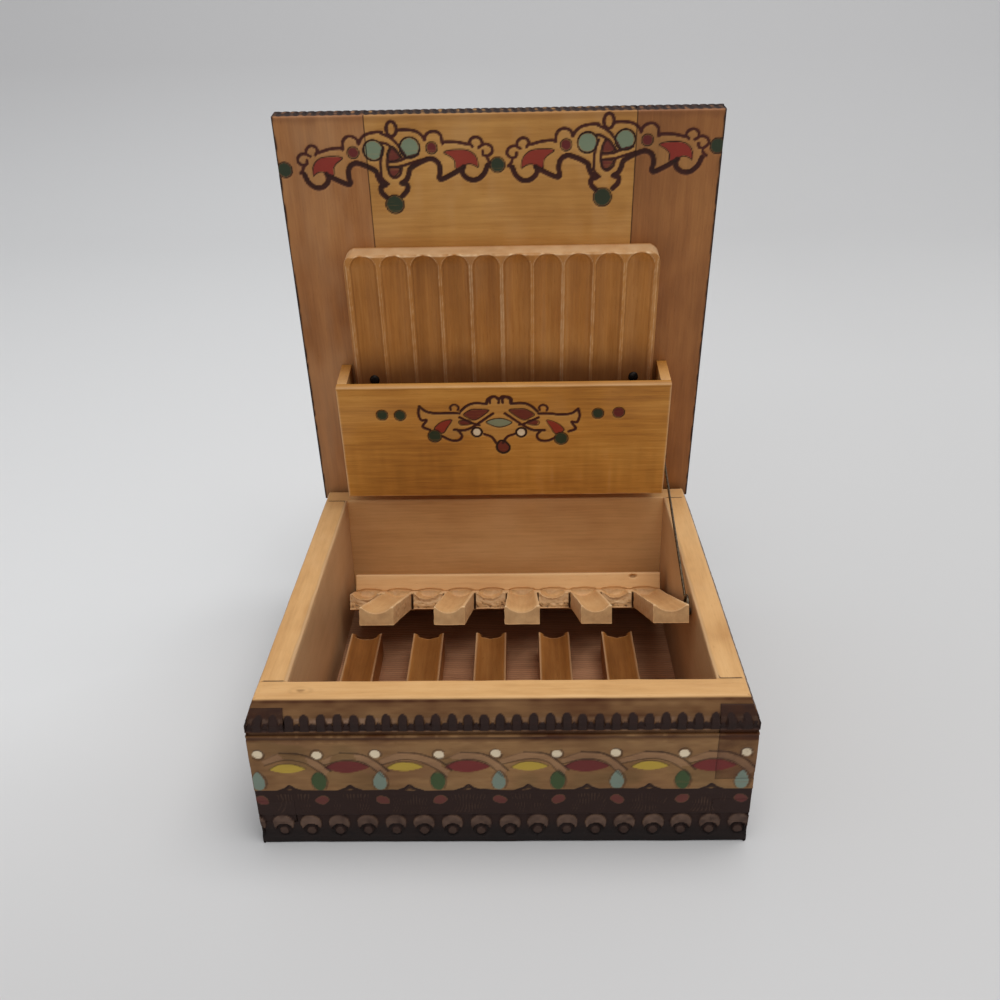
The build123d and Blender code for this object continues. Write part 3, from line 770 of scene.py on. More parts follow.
def paint_units(marks):
    """The painted band: a wavy ribbon with lenses in its windows, dots above and drops below."""
    dots = [-65.3, -49.4, -33.8, -16.7, -1.5, 14.7, 30.35, 48.6, 65.0]
    lenses = [-57.8, -41.6, -26.0, -9.2, 7.5, 22.75, 39.7, 56.6]
    drops = [-66.3, -49.7, -33.1, -17.4, -0.9, 15.0, 31.0, 48.6, 64.5]
    lens_colours = (OCHRE, OXBLOOD, OCHRE, DULL_RED)
    for k, x in enumerate(lenses):
        half, tall = ((4.9, 1.5), (6.0, 2.0))[k % 2]
        base = -20.8 - 0.5 * (k == 0)
        shape = [(-half, -0.3), (-half / 2, 0.8 * tall), (0, tall), (half / 2, 0.8 * tall), (half, 0.0)]
        shape += [(half / 2, -0.75 * tall), (0, -tall), (-half / 2, -0.85 * tall)]
        shape = [(x + p, base + q) for p, q in shape]
        start = dots[k] + 2.0
        end = dots[k + 1]
        upper = [(start - 1.2, -18.6), (x - 1.5, -16.1), (x + 4.0, -16.6), (end, -18.9), (end + 3.2, -22.2)]
        lower = [(start - 0.6, -20.2), (x - 0.5, -18.5), (x + 4.6, -19.4), (end, -22.4), (end + 1.8, -24.4)]
        ribbon = [*curve(upper), *curve(lower)[::-1]]
        marks.fill(ribbon[::5], PINK_TAN, 0.22, smooth=False, depth=0.0)
        marks.fill(shape, lens_colours[k % 4], 1.0)
        marks.line(shape[:5], 0.4, burn=0.5)
        marks.line(upper[1:], 0.6, burn=0.6)
        marks.line(upper[:2], 0.35, burn=0.25)
        marks.line(lower, 0.45, burn=0.48)
    for k, x in enumerate(drops):
        if k % 2:
            shape = [(-2.1, -25.6), (-1.2, -23.2), (0.3, -22.6), (1.6, -23.4), (2.2, -25.4), (1.5, -28.0)]
            shape += [(0.2, -29.0), (-1.4, -28.0)]
        else:
            shape = [(-1.9, -26.4), (-1.3, -24.2), (0.1, -22.4), (1.4, -24.2), (1.9, -26.4), (1.3, -28.2)]
            shape += [(0.0, -28.8), (-1.3, -28.2)]
        marks.fill([(x + p, q) for p, q in shape], LEAF_GREEN if k % 2 else SLATE, 1.0)
        marks.line([(x + 0.3, -22.2), (x + 1.8, -24.1), (x + 2.3, -26.2), (x + 1.7, -28.3)], 0.6, burn=0.42)
        marks.line([(x - 0.2, -22.4), (x - 1.6, -24.2), (x - 2.1, -26.2), (x - 1.5, -28.3)], 0.4, burn=0.3)
    for k, x in enumerate(dots):
        marks.dot(x, -16.7 + 0.2 * (-1) ** k, 1.42, 1.34, CREAM)
        marks.line(arc(x, -16.7, 1.7, 1.6, -2.4 + k, 2.2 + k, 8), 0.5, burn=0.5)
    for a, b in zip(drops, drops[1:]):
        middle = (a + b) / 2
        crest = [(-3.6, -29.2), (-1.5, -28.5), (0, -27.3), (1.5, -28.4), (3.6, -29.2)]
        marks.line([(middle + p, q) for p, q in crest], 0.6, depth=0.2)
        marks.line([(middle - 2.6, -29.0), (middle, -28.2), (middle + 2.6, -29.0)], 1.0, burn=0.75)


def carve_band(marks, a, drop):
    """The dark band with its red dots, its hatching and its row of scallops."""
    edge = BAND_TOP + 0.25 * bumps(a, 0 * a, 5.0, 17)
    dark = ramp(drop, edge - 0.2, edge + 0.2)
    char = 0.98 + 0.06 * bumps(a, drop, 2.5, 18) + 0.4 * ramp(drop, 38.0, 46.0)
    marks.char(dark * char)
    marks.press(dark * 0.15)
    unit = (a + 57.9) / UNIT
    offset = (unit - np.round(unit)) * UNIT
    fan = np.arctan2(offset, 46.0 - drop) * 15.5 + 0.35 * bumps(a, drop, 5.0, 19)
    stroke = 1 - ramp(np.abs(fan - np.round(fan)), 0.12, 0.36)
    hatch = stroke * (1 - ramp(np.abs(offset), 4.6, 5.6)) * ramp(bumps(a, drop, 2.4, 8), -0.9, 0.2)
    hatch = hatch * ramp(drop, 29.7, 30.8) * (1 - ramp(drop, 36.6, 38.0))
    marks.burn *= 1 - 0.3 * hatch
    marks.depth += 0.12 * hatch
    marks.wash(0.8 * hatch, ASH_BROWN)
    for k, x in enumerate((-66.0, -49.4, -32.8, -17.1, -0.6, 15.3, 31.3, 48.9, 64.8)):
        below = drop - RED_DOTS
        skewed = a - x - 0.25 * (-1) ** k * below
        near = np.hypot(skewed / 1.95, below / 1.65) + 0.12 * bumps(a, drop, 1.2, 43 + k)
        red = 1 - ramp(near, 0.85, 1.05)
        marks.wash(0.88 * red, CRIMSON)
        marks.burn *= 1 - 0.9 * red
    index = np.round((a - SCALLOP_FIRST) / SCALLOP_PITCH)
    across = a - SCALLOP_FIRST - index * SCALLOP_PITCH + 0.2 * bumps(index, 0 * a, 1.3, 20)
    down = drop - 0.25 * bumps(index, 0 * a, 1.9, 22)
    hood = np.hypot(across, np.minimum(down - 40.8, 0) + 0.75 * np.maximum(down - 40.8, 0)) - 2.95
    hollow = np.hypot(across, down - 43.4) - 2.25
    boss = np.hypot(across, (down - 43.6) / 1.05) - 1.35
    crescent = within(hood, 0.3) * within(-hollow, 0.3) * (1 - ramp(down, 42.5, 42.9))
    ring = within(hollow, 0.3) * within(-boss, 0.3)
    dome = within(boss, 0.3)
    outside = within(-hood, 0.4) * ramp(drop, 37.4, 38.2)
    marks.press(0.75 * outside * (1 - 0.6 * ramp(drop, 44.8, 46.2)))
    marks.depth = np.where(ring > 0.5, 1.0, marks.depth)
    marks.depth = marks.depth * (1 - crescent) + crescent * (0.05 + 0.35 * np.clip(down - 38.0, 0, 4) / 4)
    marks.depth = marks.depth * (1 - dome) + dome * 0.35
    lit = 0.62 + 0.14 * bumps(index, 0 * a, 1.1, 23) + 0.16 * bumps(a, drop, 1.2, 24)
    marks.wash(0.95 * np.maximum(crescent, dome), ASH_BROWN)
    marks.burn *= (1 - lit * crescent) * (1 - 0.5 * dome)


def wall_marks(a, z):
    """The carving and paint of one outer face: a runs across it and z up."""
    drop = HEIGHT - z
    marks = Marks(a, z - HEIGHT)
    chamfer = 1 - ramp(drop, 8.8, 9.2)
    ledge = ramp(drop, 8.8, 9.2) * (1 - ramp(drop, 11.6, 13.0))
    marks.tone = 0.84 * chamfer + 0.9 * ledge + 0.71 * ramp(drop, 11.6, 13.0)
    marks.tone += 0.09 * bumps(a, drop * 2, 11.0, 25) + 0.05 * bumps(a, drop * 3, 3.0, 26)
    marks.tone += 0.12 * peak(drop, 1.0, 0.35)
    marks.tone = np.where(drop < 0.35, 0.0, marks.tone)
    carve_pegs(marks, a, drop)
    from_foot = z - GROOVE_TOP + GROOVE_WIDTH
    groove = ramp(from_foot, -0.05, 0.05) * (1 - ramp(z - GROOVE_TOP, -0.05, 0.05))
    marks.press(GROOVE_DEPTH * groove)
    marks.char(0.35 * groove)
    # Pale broken lines under the groove and at the band's top: scuffs, and painted highlights where the edges
    # catch the light.
    scuffs_and_highlights = ramp(bumps(a, 0 * a, 3.4, 27) + 0.6 * bumps(a, 0 * a, 1.0, 28), 0.1, 0.8)
    marks.tone -= 0.24 * scuffs_and_highlights * peak(drop, 10.7, 0.25)
    marks.tone -= 0.1 * scuffs_and_highlights * peak(drop, 12.6, 0.25)
    marks.line([(-BODY, -11.4), (-20.0, -11.5), (25.0, -11.3), (BODY, -11.4)], 0.7, burn=0.35, depth=0.1)
    band = ramp(drop, 11.6, 12.6) * (1 - ramp(drop, 28.6, 29.0))
    marks.wash(0.3 * band * ramp(bumps(a, drop * 1.4, 7.0, 33), -0.1, 0.9), srgb(100, 80, 38))
    marks.wash(0.2 * band * ramp(bumps(a, drop * 1.4, 8.0, 34), 0.0, 0.9), srgb(132, 88, 62))
    paint_units(marks)
    carve_band(marks, a, drop)
    return marks


def corner_spots(s):
    """How far points near a vertical corner lie from the two outer planes, at full body width."""
    e = np.abs(np.abs(s) - BODY)
    start = CORNER_ROUND * (1 - math.sqrt(0.5))
    shift = start + e * (CORNER_ROUND - start) / CORNER_ROUND
    along = np.where(e < CORNER_ROUND, shift, e)
    return along, rounding(along, CORNER_ROUND)


def wall_outline(face):
    """A wall's flat outline, its ends wrapped round the corners: it has or leaves the fingers."""
    left, right = {
        "front": ("left", "right"),
        "right": ("right", "right"),
        "back": ("right", "left"),
        "left": ("left", "left"),
    }[face]
    own, cut = (REACH, INNER) if face in ("front", "back") else (INNER, REACH)

    def end(side):
        points = [(own, 0.0)]
        for low, high in FINGERS[side]:
            points += [(own, low), (cut, low), (cut, high), (own, high)]
        return [*points, (own, HEIGHT)]

    return np.array(end(right) + [(-p, q) for p, q in reversed(end(left))])


# The back wall is let in where the lid's two hinges sit
HINGE_PLACE = 50.0
NOTCH_HALF = 4.5
NOTCH_BOTTOM = HEIGHT - 4.25
NOTCH_DEPTH = BODY - 62.95
RIM_WIDTH = 7.7
REBATE_PLACE = FLOOR_EDGE + 0.1
# How high painted shade reaches up the side walls' inner faces, and how much paler some inner faces are
# painted, as painted light.
SIDE_WALL_SHADE_TOP = {"left": 27.0, "right": 38.0}
INNER_PALER = {"left": 0.16, "back": 0.05}


def build_wall(face, step):
    outline = wall_outline(face)
    quarter = FACE_TURNS[face]
    turn = quarter * math.pi / 2
    along = np.array([math.cos(turn), math.sin(turn), 0])
    outward = np.array([math.sin(turn), -math.cos(turn), 0])

    def place(s, depth, z):
        return s[:, None] * along + (BODY - depth)[:, None] * outward + z[:, None] * np.array([0, 0, 1])

    def front(s, z):
        side = np.sign(s)
        plain = np.abs(s) <= INNER
        wraps = np.abs(s) > BODY + 1e-6
        corner = np.abs(np.abs(s) - BODY) < 1e-6
        width, fall = corner_spots(s)
        width = np.minimum(width, WALL)
        inset = flare_inset(z)
        marks = wall_marks(np.where(plain, s, np.where(wraps, -side, side) * (BODY - width)), z)
        joint = edge_distance(s, z, outline)
        grain_end = wraps & (z < HEIGHT - 1.4)
        upper_end = ramp(z, HEIGHT - 9.4, HEIGHT - 9.0)
        marks.tone += np.where(grain_end, 0.16, 0.0)
        marks.char(np.where(grain_end, 0.1 + 0.45 * upper_end, 0.0))
        seam = (1 - ramp(joint, 0.05, 0.3)) * (z < HEIGHT - 1) * (z > 1)
        marks.char(seam * (0.28 + 0.25 * upper_end + 0.2 * bumps(s, z, 3.0, 58)))
        worn = 0.7 * (0.75 + 0.25 * bumps(s, z, 9.0, 11 + quarter))
        at_joint = rounding(joint, np.where(z > HEIGHT - 28.0, 0.16, 0.07))
        fall = np.maximum.reduce([fall, at_joint, rounding(HEIGHT - z, worn), rounding(z, worn)])
        depth = inset + marks.depth + fall + 0.05 * (1 + bumps(s, z, 6.0, 3))
        if face == "back":
            in_notch = (z > NOTCH_BOTTOM) & (np.abs(np.abs(s) - HINGE_PLACE) < NOTCH_HALF)
            depth = np.where(in_notch, NOTCH_DEPTH, depth)
        scaled = inset + width * (WALL - inset) / WALL
        x = np.where(plain, np.abs(s), BODY - np.where(wraps | corner, depth, scaled))
        return place(side * x, np.where(wraps, scaled, depth), z), marks

    def back(s, z):
        plain = np.abs(s) <= INNER
        above = z > FLOOR_TOP
        room = BODY - flare_inset(z) - 0.3 - INNER
        x = np.where(plain, np.abs(s), INNER + (np.abs(s) - INNER) / (REACH - INNER) * room)
        depth = np.where(~above & (x < REBATE_PLACE), WALL - REBATE_PLACE + INNER, WALL)
        plane = 0.1 * bumps(s, z, 14.0, 21 + quarter) + 0.04 * bumps(s, z, 3.0, 5)
        worn = np.where(plain, 0.5 + 0.15 * bumps(s, z, 7.0, 31), 0.2)
        depth = depth - rounding(HEIGHT - z, worn) + plane * plain * above
        marks = no_marks(len(s))
        # Painted shade: the inner faces darken towards the floor, the side walls most; the left inner face
        # and the back wall are painted paler, as painted light.
        marks.tone = 0.12 * (1 - ramp(z, FLOOR_TOP, 24.0)) + 0.06 * bumps(s, z, 9.0, 35)
        if face in SIDE_WALL_SHADE_TOP:
            marks.wash(0.4 * above, GREYED)
            marks.tone += 0.4 * (1 - ramp(z, FLOOR_TOP, SIDE_WALL_SHADE_TOP[face]))
        marks.tone -= INNER_PALER.get(face, 0.0)
        return place(np.sign(s) * x, depth, z), marks

    def rim(s, z, share, places, marks):
        """The flat top edge: pale, a little uneven, with a dark seam where two walls meet."""
        on_top = z > HEIGHT - 0.01
        inward = share * RIM_WIDTH
        places[:, 2] -= np.where(on_top, 0.05 * (1 + bumps(s, inward, 5.0, 36)), 0.0)
        tone = 0.08 * bumps(s, inward, 9.0, 37) + 0.05 * bumps(s, share * 30, 3.0, 38)
        if face == "front":
            knot = np.hypot((s - KNOT_PLACE[0]) / 1.7, inward - KNOT_PLACE[1])
            tone += 0.55 * (1 - ramp(knot, 0.3, 1.0)) + 0.14 * peak(knot, 1.7, 0.4)
        seam = (np.abs(np.abs(s) - INNER) < 0.2) & (face in SIDE_WALL_SHADE_TOP)
        marks.tone = np.where(on_top, tone, marks.tone)
        marks.burn = np.where(on_top, 0.85 * seam, marks.burn)
        marks.paint = np.where(on_top[:, None], 0.0, marks.paint)
        return places

    close = (-0.16, -0.04, 0.04, 0.16)
    groove_lines = beside((GROOVE_TOP - GROOVE_WIDTH, GROOVE_TOP), (-0.06, 0.06))
    keep_q = [0.03, 0.15, 0.4, HEIGHT - FLARE_HEIGHT, *beside(outline[:, 1], close), *groove_lines]
    keep_q += [HEIGHT - gap for gap in (0.03, 0.12, 0.3, 0.7)]
    corner = [BODY + CORNER_ROUND * share for share in (-1, -0.67, -0.33, 0, 0.33, 0.67, 1)]
    keep_p = [sign * value for value in (*corner, *beside((INNER, REACH), close), INNER) for sign in (-1, 1)]
    if face == "back":
        notches = beside((-HINGE_PLACE, HINGE_PLACE), (-NOTCH_HALF, NOTCH_HALF))
        keep_p += beside(notches, (-0.02, 0.02))
        keep_q += beside([NOTCH_BOTTOM], (-0.02, 0.02))
    rebate_line = INNER + (REBATE_PLACE - INNER) / (WALL - 0.3) * (REACH - INNER)
    back_p = [sign * value for value in beside((INNER, rebate_line), (-0.01, 0.01)) for sign in (-1, 1)]
    back_q = [FLOOR_TOP - 0.01, FLOOR_TOP + 0.01, *(HEIGHT - value for value in (0.05, 0.2, 0.5))]
    made = board(outline, front, back, step, (2.5, 2.5), (keep_p, keep_q), (back_p, back_q), 8, rim)

    def grain(places):
        apart = 140.0 * quarter
        return columns(places @ along + apart, places[:, 2] + apart, BODY - places @ outward)

    return make_piece(f"{face}_wall_board", made, grain, WALL_WOOD, "box", [f"{face}_wall"])


for wall_face in FACE_TURNS:
    build_wall(wall_face, (0.4, 0.38) if wall_face == "front" else (0.5, 0.42))


# Lid
LID_HALF = lid_span("lid_right_stile")[1][0]
LEFT_JOINT = lid_span("lid_left_stile")[1][0]
RIGHT_JOINT = lid_span("lid_right_stile")[0][0]
# Each knot's middle, and how wide its left half is beside its right half
KNOTS = ((-32.4, 123.3, 0.93), (32.2, 124.5, 0.97))


def mirrored(points, knot, side):
    """Points beside a knot's middle. The left half is narrower and sinks towards its end."""
    u, v, left_width = knot
    if side > 0:
        return [(u + p, v + q) for p, q in points]
    return [(u - left_width * p, v + q - 0.3 - 0.055 * abs(p)) for p, q in points]


FRIEZE_THIN = (
    [(2.5, 6.9), (4.6, 7.0), (7.5, 6.6), (9.3, 5.5), (10.3, 4.0)],
    [(10.3, 4.0), (10.9, 5.5), (12.3, 6.3), (13.9, 6.3), (15.2, 5.2), (15.6, 2.8)],
    [(15.6, 2.8), (16.4, 3.3), (19.9, 3.2), (23.4, 2.5)],
    [(24.6, 1.9), (23.8, 3.0), (24.4, 4.2), (25.9, 4.6), (27.2, 3.8), (27.5, 2.4), (26.4, 1.6)],
    [(27.4, 2.3), (28.8, 2.5), (30.2, 1.8), (30.5, 0.3), (29.2, -0.8), (27.8, -0.6), (27.6, 0.5)],
    [(28.9, -1.0), (29.3, -2.3), (30.2, -3.1)],
)
FRIEZE_THICK = (
    [(29.0, -3.6), (27.9, -6.0), (26.0, -7.6), (23.8, -7.8), (21.9, -6.7), (21.2, -5.1), (21.7, -4.0)],
    [(20.9, -4.6), (18.1, -6.1), (15.3, -7.4), (14.2, -7.2), (14.5, -5.0), (14.2, -2.9), (13.2, -1.8)],
    [(13.2, -1.8), (11.6, -1.4), (9.6, -2.0), (7.4, -3.0), (5.4, -4.3), (5.0, -5.6), (4.1, -7.5)]
    + [(2.6, -8.5)],
    [(2.6, -8.5), (4.2, -9.1), (4.1, -10.7), (2.6, -12.3)],
)
RED_LEAF = [(16.0, 0.3), (17.9, 1.0), (22.5, 1.0), (24.9, -0.2), (26.0, -2.0), (26.1, -4.1), (25.3, -3.7)]
RED_LEAF += [(24.0, -3.2), (22.6, -3.3), (21.7, -4.3), (20.4, -4.8), (19.3, -4.3), (19.1, -2.4), (18.1, -1.1)]
FIELD = [(0.0, 6.6), (4.6, 7.0), (9.3, 5.5), (10.9, 5.5), (13.9, 6.3), (15.6, 3.0), (23.4, 2.6), (25.9, 4.6)]
FIELD += [(27.5, 2.4), (30.4, 1.3), (29.0, -3.6), (26.0, -7.6), (21.9, -6.7), (20.9, -4.6), (15.3, -7.4)]
FIELD += [(14.5, -5.0), (13.2, -1.8), (9.6, -2.0), (5.4, -4.3), (2.6, -8.5), (0.0, -9.0)]
KNOT_REDS = (
    [(0.6, 2.3), (2.8, -0.6), (0.6, -1.9), (-0.9, -1.6), (-1.1, 0.6)],
    [(-1.1, -3.9), (2.3, -4.1), (0.9, -6.3), (-0.7, -6.1)],
)
KNOT_BANDS = (
    [(-2.6, 6.1), (-0.1, 4.9), (1.9, 3.1), (4.3, -0.6)],
    [(-2.9, 3.4), (-1.3, 3.1), (1.0, 1.5), (3.2, -1.2)],
    [(-2.2, 2.1), (-3.1, -0.5), (-3.4, -3.6), (-3.3, -6.8), (-1.5, -8.7)],
    [(-0.1, 1.9), (-1.1, -0.5), (-1.3, -3.7), (-0.7, -6.1), (0.6, -6.9), (2.3, -5.8), (2.9, -3.7)],
    [(-0.7, -2.1), (2.1, -1.9), (4.6, -1.0), (8.1, -0.1)],
    [(-0.8, -3.7), (2.5, -3.5), (5.5, -2.7), (8.9, -1.7)],
)
KNOT_LOOP = arc(0.6, 7.3, 1.5, 2.1, 0, 5.5, 8)


def draw_frieze(marks):
    """The interlaced frieze along the lid's upper edge, inside."""
    for knot in KNOTS:
        for side in (-1, 1):
            marks.fill(mirrored(FIELD, knot, side), PALE_GOLD, 0.3, smooth=False, depth=0.0)
        for side in (-1, 1):
            marks.fill(mirrored(RED_LEAF, knot, side), RED, 0.95, edge=0.35)
            (u, v), (p, q) = mirrored([(5.7, 1.9), (12.3, 1.7)], knot, side)
            marks.dot(u, v, 2.7, 2.7, TEAL, ring=0.55)
            marks.dot(p, q, 1.55, 1.55, OXBLOOD, ring=0.35)
            for points in FRIEZE_THIN:
                marks.line(mirrored(points, knot, side), 0.95, burn=0.46, colour=MAROON)
            for points in FRIEZE_THICK:
                marks.line(mirrored(points, knot, side), 1.55, burn=0.64, depth=0.3, colour=MAROON)
        for points in KNOT_REDS:
            marks.fill(mirrored(points, knot, 1), OXBLOOD, 0.95, edge=0.35)
        for points in KNOT_BANDS:
            marks.line(mirrored(points, knot, 1), 0.85, burn=0.55, colour=MAROON)
        marks.line(mirrored(KNOT_LOOP, knot, 1), 1.0, burn=0.55, closed=True, colour=MAROON)
    for u, v in ((-65.2, 119.3), (-0.4, 119.8), (65.6, 124.2)):
        marks.dot(u, v, 2.1, 2.1, GREEN, ring=0.35)
    for u, v in ((-32.4, 108.4), (31.7, 109.6)):
        marks.dot(u, v, 2.6, 2.6, GREEN, ring=0.4)


def lid_inner(u, v):
    marks = Marks(u, v)
    below_edge = (LID_LENGTH - v + 0.5 * bumps(u, v, 4.0, 39)) / 2.6
    marks.wash(0.28 * (1 - ramp(below_edge, 0.3, 1.0)), RUSSET)
    marks.char(0.85 * (1 - ramp(LID_HALF - np.abs(u) + 0.2 * bumps(u, v, 2.0, 53), 0.4, 0.8)))
    marks.tone += np.where(u > RIGHT_JOINT, 0.08, 0.0)
    marks.tone -= (u < LEFT_JOINT) * (0.03 + 0.12 * (1 - ramp(v, 30.0, 80.0)))
    marks.tone += 0.07 * bumps(u * 2.2, v, 16.0, 40) + 0.05 * bumps(u * 2, v * 0.7, 5.0, 42)
    draw_frieze(marks)
    return marks


def lid_gaps(u, v):
    """How far points are from the lid's nearest side and from its nearest end."""
    return LID_HALF - np.abs(u), np.minimum(v, LID_LENGTH - v)


def lid_outer(u, v):
    """The lid's outer face: burnt border, rows of dots and a chip-carved rosette between rings."""
    marks = Marks(u, v)
    marks.tone += 0.3
    centre_v = LID_LENGTH / 2
    side_gap, end_gap = lid_gaps(u, v)
    edge = np.minimum(side_gap, end_gap)
    step = np.where(side_gap < end_gap, v - centre_v, u) / PEG_PITCH
    lobe = 1.5 * np.sqrt(1 - np.clip(2.1 * (step - np.round(step)), -1, 1) ** 2)
    marks.char(0.95 * (1 - ramp(edge - lobe, 7.6, 8.0)))
    reach = np.hypot(u, v - centre_v)
    petals = 12.0 * np.abs(np.cos(3 * np.arctan2(v - centre_v, u)))
    petal = ramp(petals - reach, -0.2, 0.2) * ramp(reach, 0.6, 1.2)
    marks.press(petal * 0.8)
    marks.char(petal * 0.6)
    for radius in (14.5, 17.0, 26.0):
        marks.band(reach - radius, 0.3, 0.9, 0.3)
    for k in range(24):
        t = k * math.pi / 12
        size, ring = ((2.0, 0.45), (0.9, 0.35))[k % 2]
        colour = CREAM if k % 2 else (OCHRE, OXBLOOD, GREEN)[k // 2 % 3]
        marks.dot(21.5 * math.cos(t), centre_v + 21.5 * math.sin(t), size, size, colour, ring=ring)
    marks.band(edge - 13.5, 0.25, 0.85, 0.2)
    for k in range(-5, 6):
        for side in (-1, 1):
            colour = (CREAM, RED, TEAL)[k % 3]
            marks.dot(k * 10.2, centre_v + side * (centre_v - 4.8), 1.6, 1.6, colour, ring=0.4)
            marks.dot(side * (LID_HALF - 4.8), centre_v + k * 10.2, 1.6, 1.6, colour, ring=0.4)
    return marks


ROPE_PITCH = 2.6
FRIEZE_FOOT = 104.0
JOINT_ROUND = 0.12


def rope_tooth(turns):
    """0 on the crown of a rope's strand, 1 in the notch between two."""
    return np.abs(turns % 1 - 0.5) * 2


def build_lid_board(name, u_low, u_high, material, grain_up, seed):
    """One of the lid's three boards, its outer edges notched like a rope."""
    outline = rectangle((u_low, 0.0), (u_high, LID_LENGTH))

    def rounded(u, v, radius):
        worn = radius * (0.85 + 0.15 * bumps(u, v, 8.0, seed))
        fall = rounding(np.minimum(v, LID_LENGTH - v), worn)
        for side in (u_low, u_high):
            outer = abs(abs(side) - LID_HALF) < 0.01
            fall = np.maximum(fall, rounding(np.abs(u - side), worn if outer else JOINT_ROUND))
        return fall

    def front(u, v):
        marks = lid_inner(u, v)
        for side in (u_low, u_high):
            if abs(abs(side) - LID_HALF) > 0.01:
                marks.char(0.6 * (1 - ramp(np.abs(u - side), 0.08, 0.3)))
        depth = -marks.depth - rounded(u, v, 0.6) + 0.06 * bumps(u, v, 12.0, seed)
        return on_lid(u, v, depth), marks

    def back(u, v):
        marks = lid_outer(u, v)
        side_gap, end_gap = lid_gaps(u, v)
        tooth = rope_tooth(np.where(side_gap < end_gap, v, u) / ROPE_PITCH)
        notch = 0.8 * ramp(tooth, 0.45, 1.0) * (1 - ramp(np.minimum(side_gap, end_gap), 0.6, 1.9))
        return on_lid(u, v, notch + marks.depth + rounded(u, v, 0.8) - LID_THICK), marks

    def rim(u, v, share, places, marks):
        """Notches cut into the outer edges, deeper towards the outer face."""
        side_gap, end_gap = lid_gaps(u, v)
        on_side = np.abs(side_gap) < 0.01
        on_end = end_gap < 0.01
        along = np.where(on_side, v, u)
        tooth = rope_tooth(along / ROPE_PITCH + 0.25 * share)
        cut = (0.06 + 0.34 * share) * ramp(tooth, 0.45, 0.95)
        push_u = -np.sign(u) * cut * on_side
        push_v = np.where(v < LID_LENGTH / 2, cut, -cut) * on_end
        dark = np.where(on_side | on_end, 1.0, 0.0)
        scuffs = ramp(bumps(along, 9 * share, 1.9, 57), 0.1, 0.7)
        marks.burn = dark * (0.7 - 0.35 * scuffs + 0.5 * ramp(tooth, 0.3, 0.6)) * ramp(share, 0.05, 0.2)
        marks.tone = dark * (0.4 - 0.5 * scuffs)
        marks.paint *= 0
        return places + on_lid(push_u, push_v, 0 * u) - on_lid(0 * u, 0 * u, 0 * u)

    keep_u = beside((u_low, u_high), (-0.6, -0.25, -0.1, -0.03, 0.03, 0.1, 0.25, 0.6))
    ends = from_ends(0, LID_LENGTH, (0.03, 0.1, 0.25, 0.6))
    plain = grid_lines(0.6, FRIEZE_FOOT, 1.2)
    frieze = grid_lines(FRIEZE_FOOT, LID_LENGTH - 0.6, 0.36)
    outer = grid_lines(0.6, LID_LENGTH - 0.6, 0.62)
    keep = (keep_u, [*ends, *plain, *frieze])
    made = board(outline, front, back, (0.4, 2.0), (0.62, 2.0), keep, (keep_u, [*ends, *outer]), 6, rim)
    grain = lid_grain(53 * seed, 71 * seed, grain_up)
    return make_piece(f"{name}_carved", made, grain, material, "lid", [name])


def lid_grain(up_shift, across_shift, grain_up):
    """What gives each point's place in the timber of a board on the lid."""
    order = [1, 0, 2] if grain_up else [0, 1, 2]
    return lambda places: (off_lid(places) + np.array([across_shift, up_shift, 0]))[:, order]


build_lid_board("lid_centre_panel", LEFT_JOINT, RIGHT_JOINT, PANEL_WOOD, False, 1)
build_lid_board("lid_left_stile", -LID_HALF, LEFT_JOINT, STILE_WOOD, True, 2)
build_lid_board("lid_right_stile", RIGHT_JOINT, LID_HALF, STILE_WOOD, True, 3)


# Pocket
WING = (
    [(-27.7, 47.5), (-28.2, 44.9), (-27.4, 42.4), (-25.6, 42.3), (-27.0, 39.9), (-24.7, 38.6)],
    [(-27.6, 47.3), (-25.4, 45.5), (-21.8, 44.8), (-17.8, 44.9), (-14.5, 44.7)],
    [(-14.1, 45.5), (-11.9, 47.5), (-9.3, 48.4), (-5.3, 48.2)],
    [(-5.3, 48.2), (-4.9, 49.9), (-2.8, 50.9), (-1.3, 49.6)],
    [(-20.5, 36.0), (-17.6, 34.5), (-15.0, 34.6), (-14.0, 36.3), (-15.5, 38.5)],
    [(-16.6, 38.5), (-11.5, 38.8), (-3.3, 44.5)],
    [(-6.4, 36.7), (-3.9, 35.6), (-2.4, 33.2)],
    [(-14.5, 43.2), (-10.0, 40.8), (-8.0, 40.2)],
)
WING_LEAVES = (
    [(-13.1, 44.3), (-10.5, 46.1), (-7.6, 46.2), (-4.7, 45.8), (-6.6, 43.8), (-9.5, 42.1), (-11.7, 43.0)],
    [(-14.7, 41.8), (-11.4, 42.1), (-10.7, 40.7), (-14.0, 40.3)],
    [(-22.8, 39.8), (-20.5, 41.7), (-17.2, 42.3), (-18.8, 39.4), (-20.4, 37.3), (-22.9, 38.6)],
)
WING_RING = arc(-16.1, 46.7, 1.4, 1.3, -0.6, 3.7, 7)
WING_FIELD = [(-27.7, 47.1), (-28.0, 43.6), (-25.0, 38.8), (-17.6, 34.6), (-14.0, 36.3), (-6.4, 36.7)]
WING_FIELD += [(-1.3, 33.6), (-1.3, 50.1), (-4.9, 49.6), (-9.3, 48.2), (-14.1, 45.5), (-21.8, 44.8)]
WING_MIDDLE = -1.3


def placed(points, side):
    """A wing's points. The right wing mirrors the left one and hangs lower towards its tip."""
    if side > 0:
        return points
    return [(2 * WING_MIDDLE - p, q - 0.0022 * (p - WING_MIDDLE) ** 2) for p, q in points]


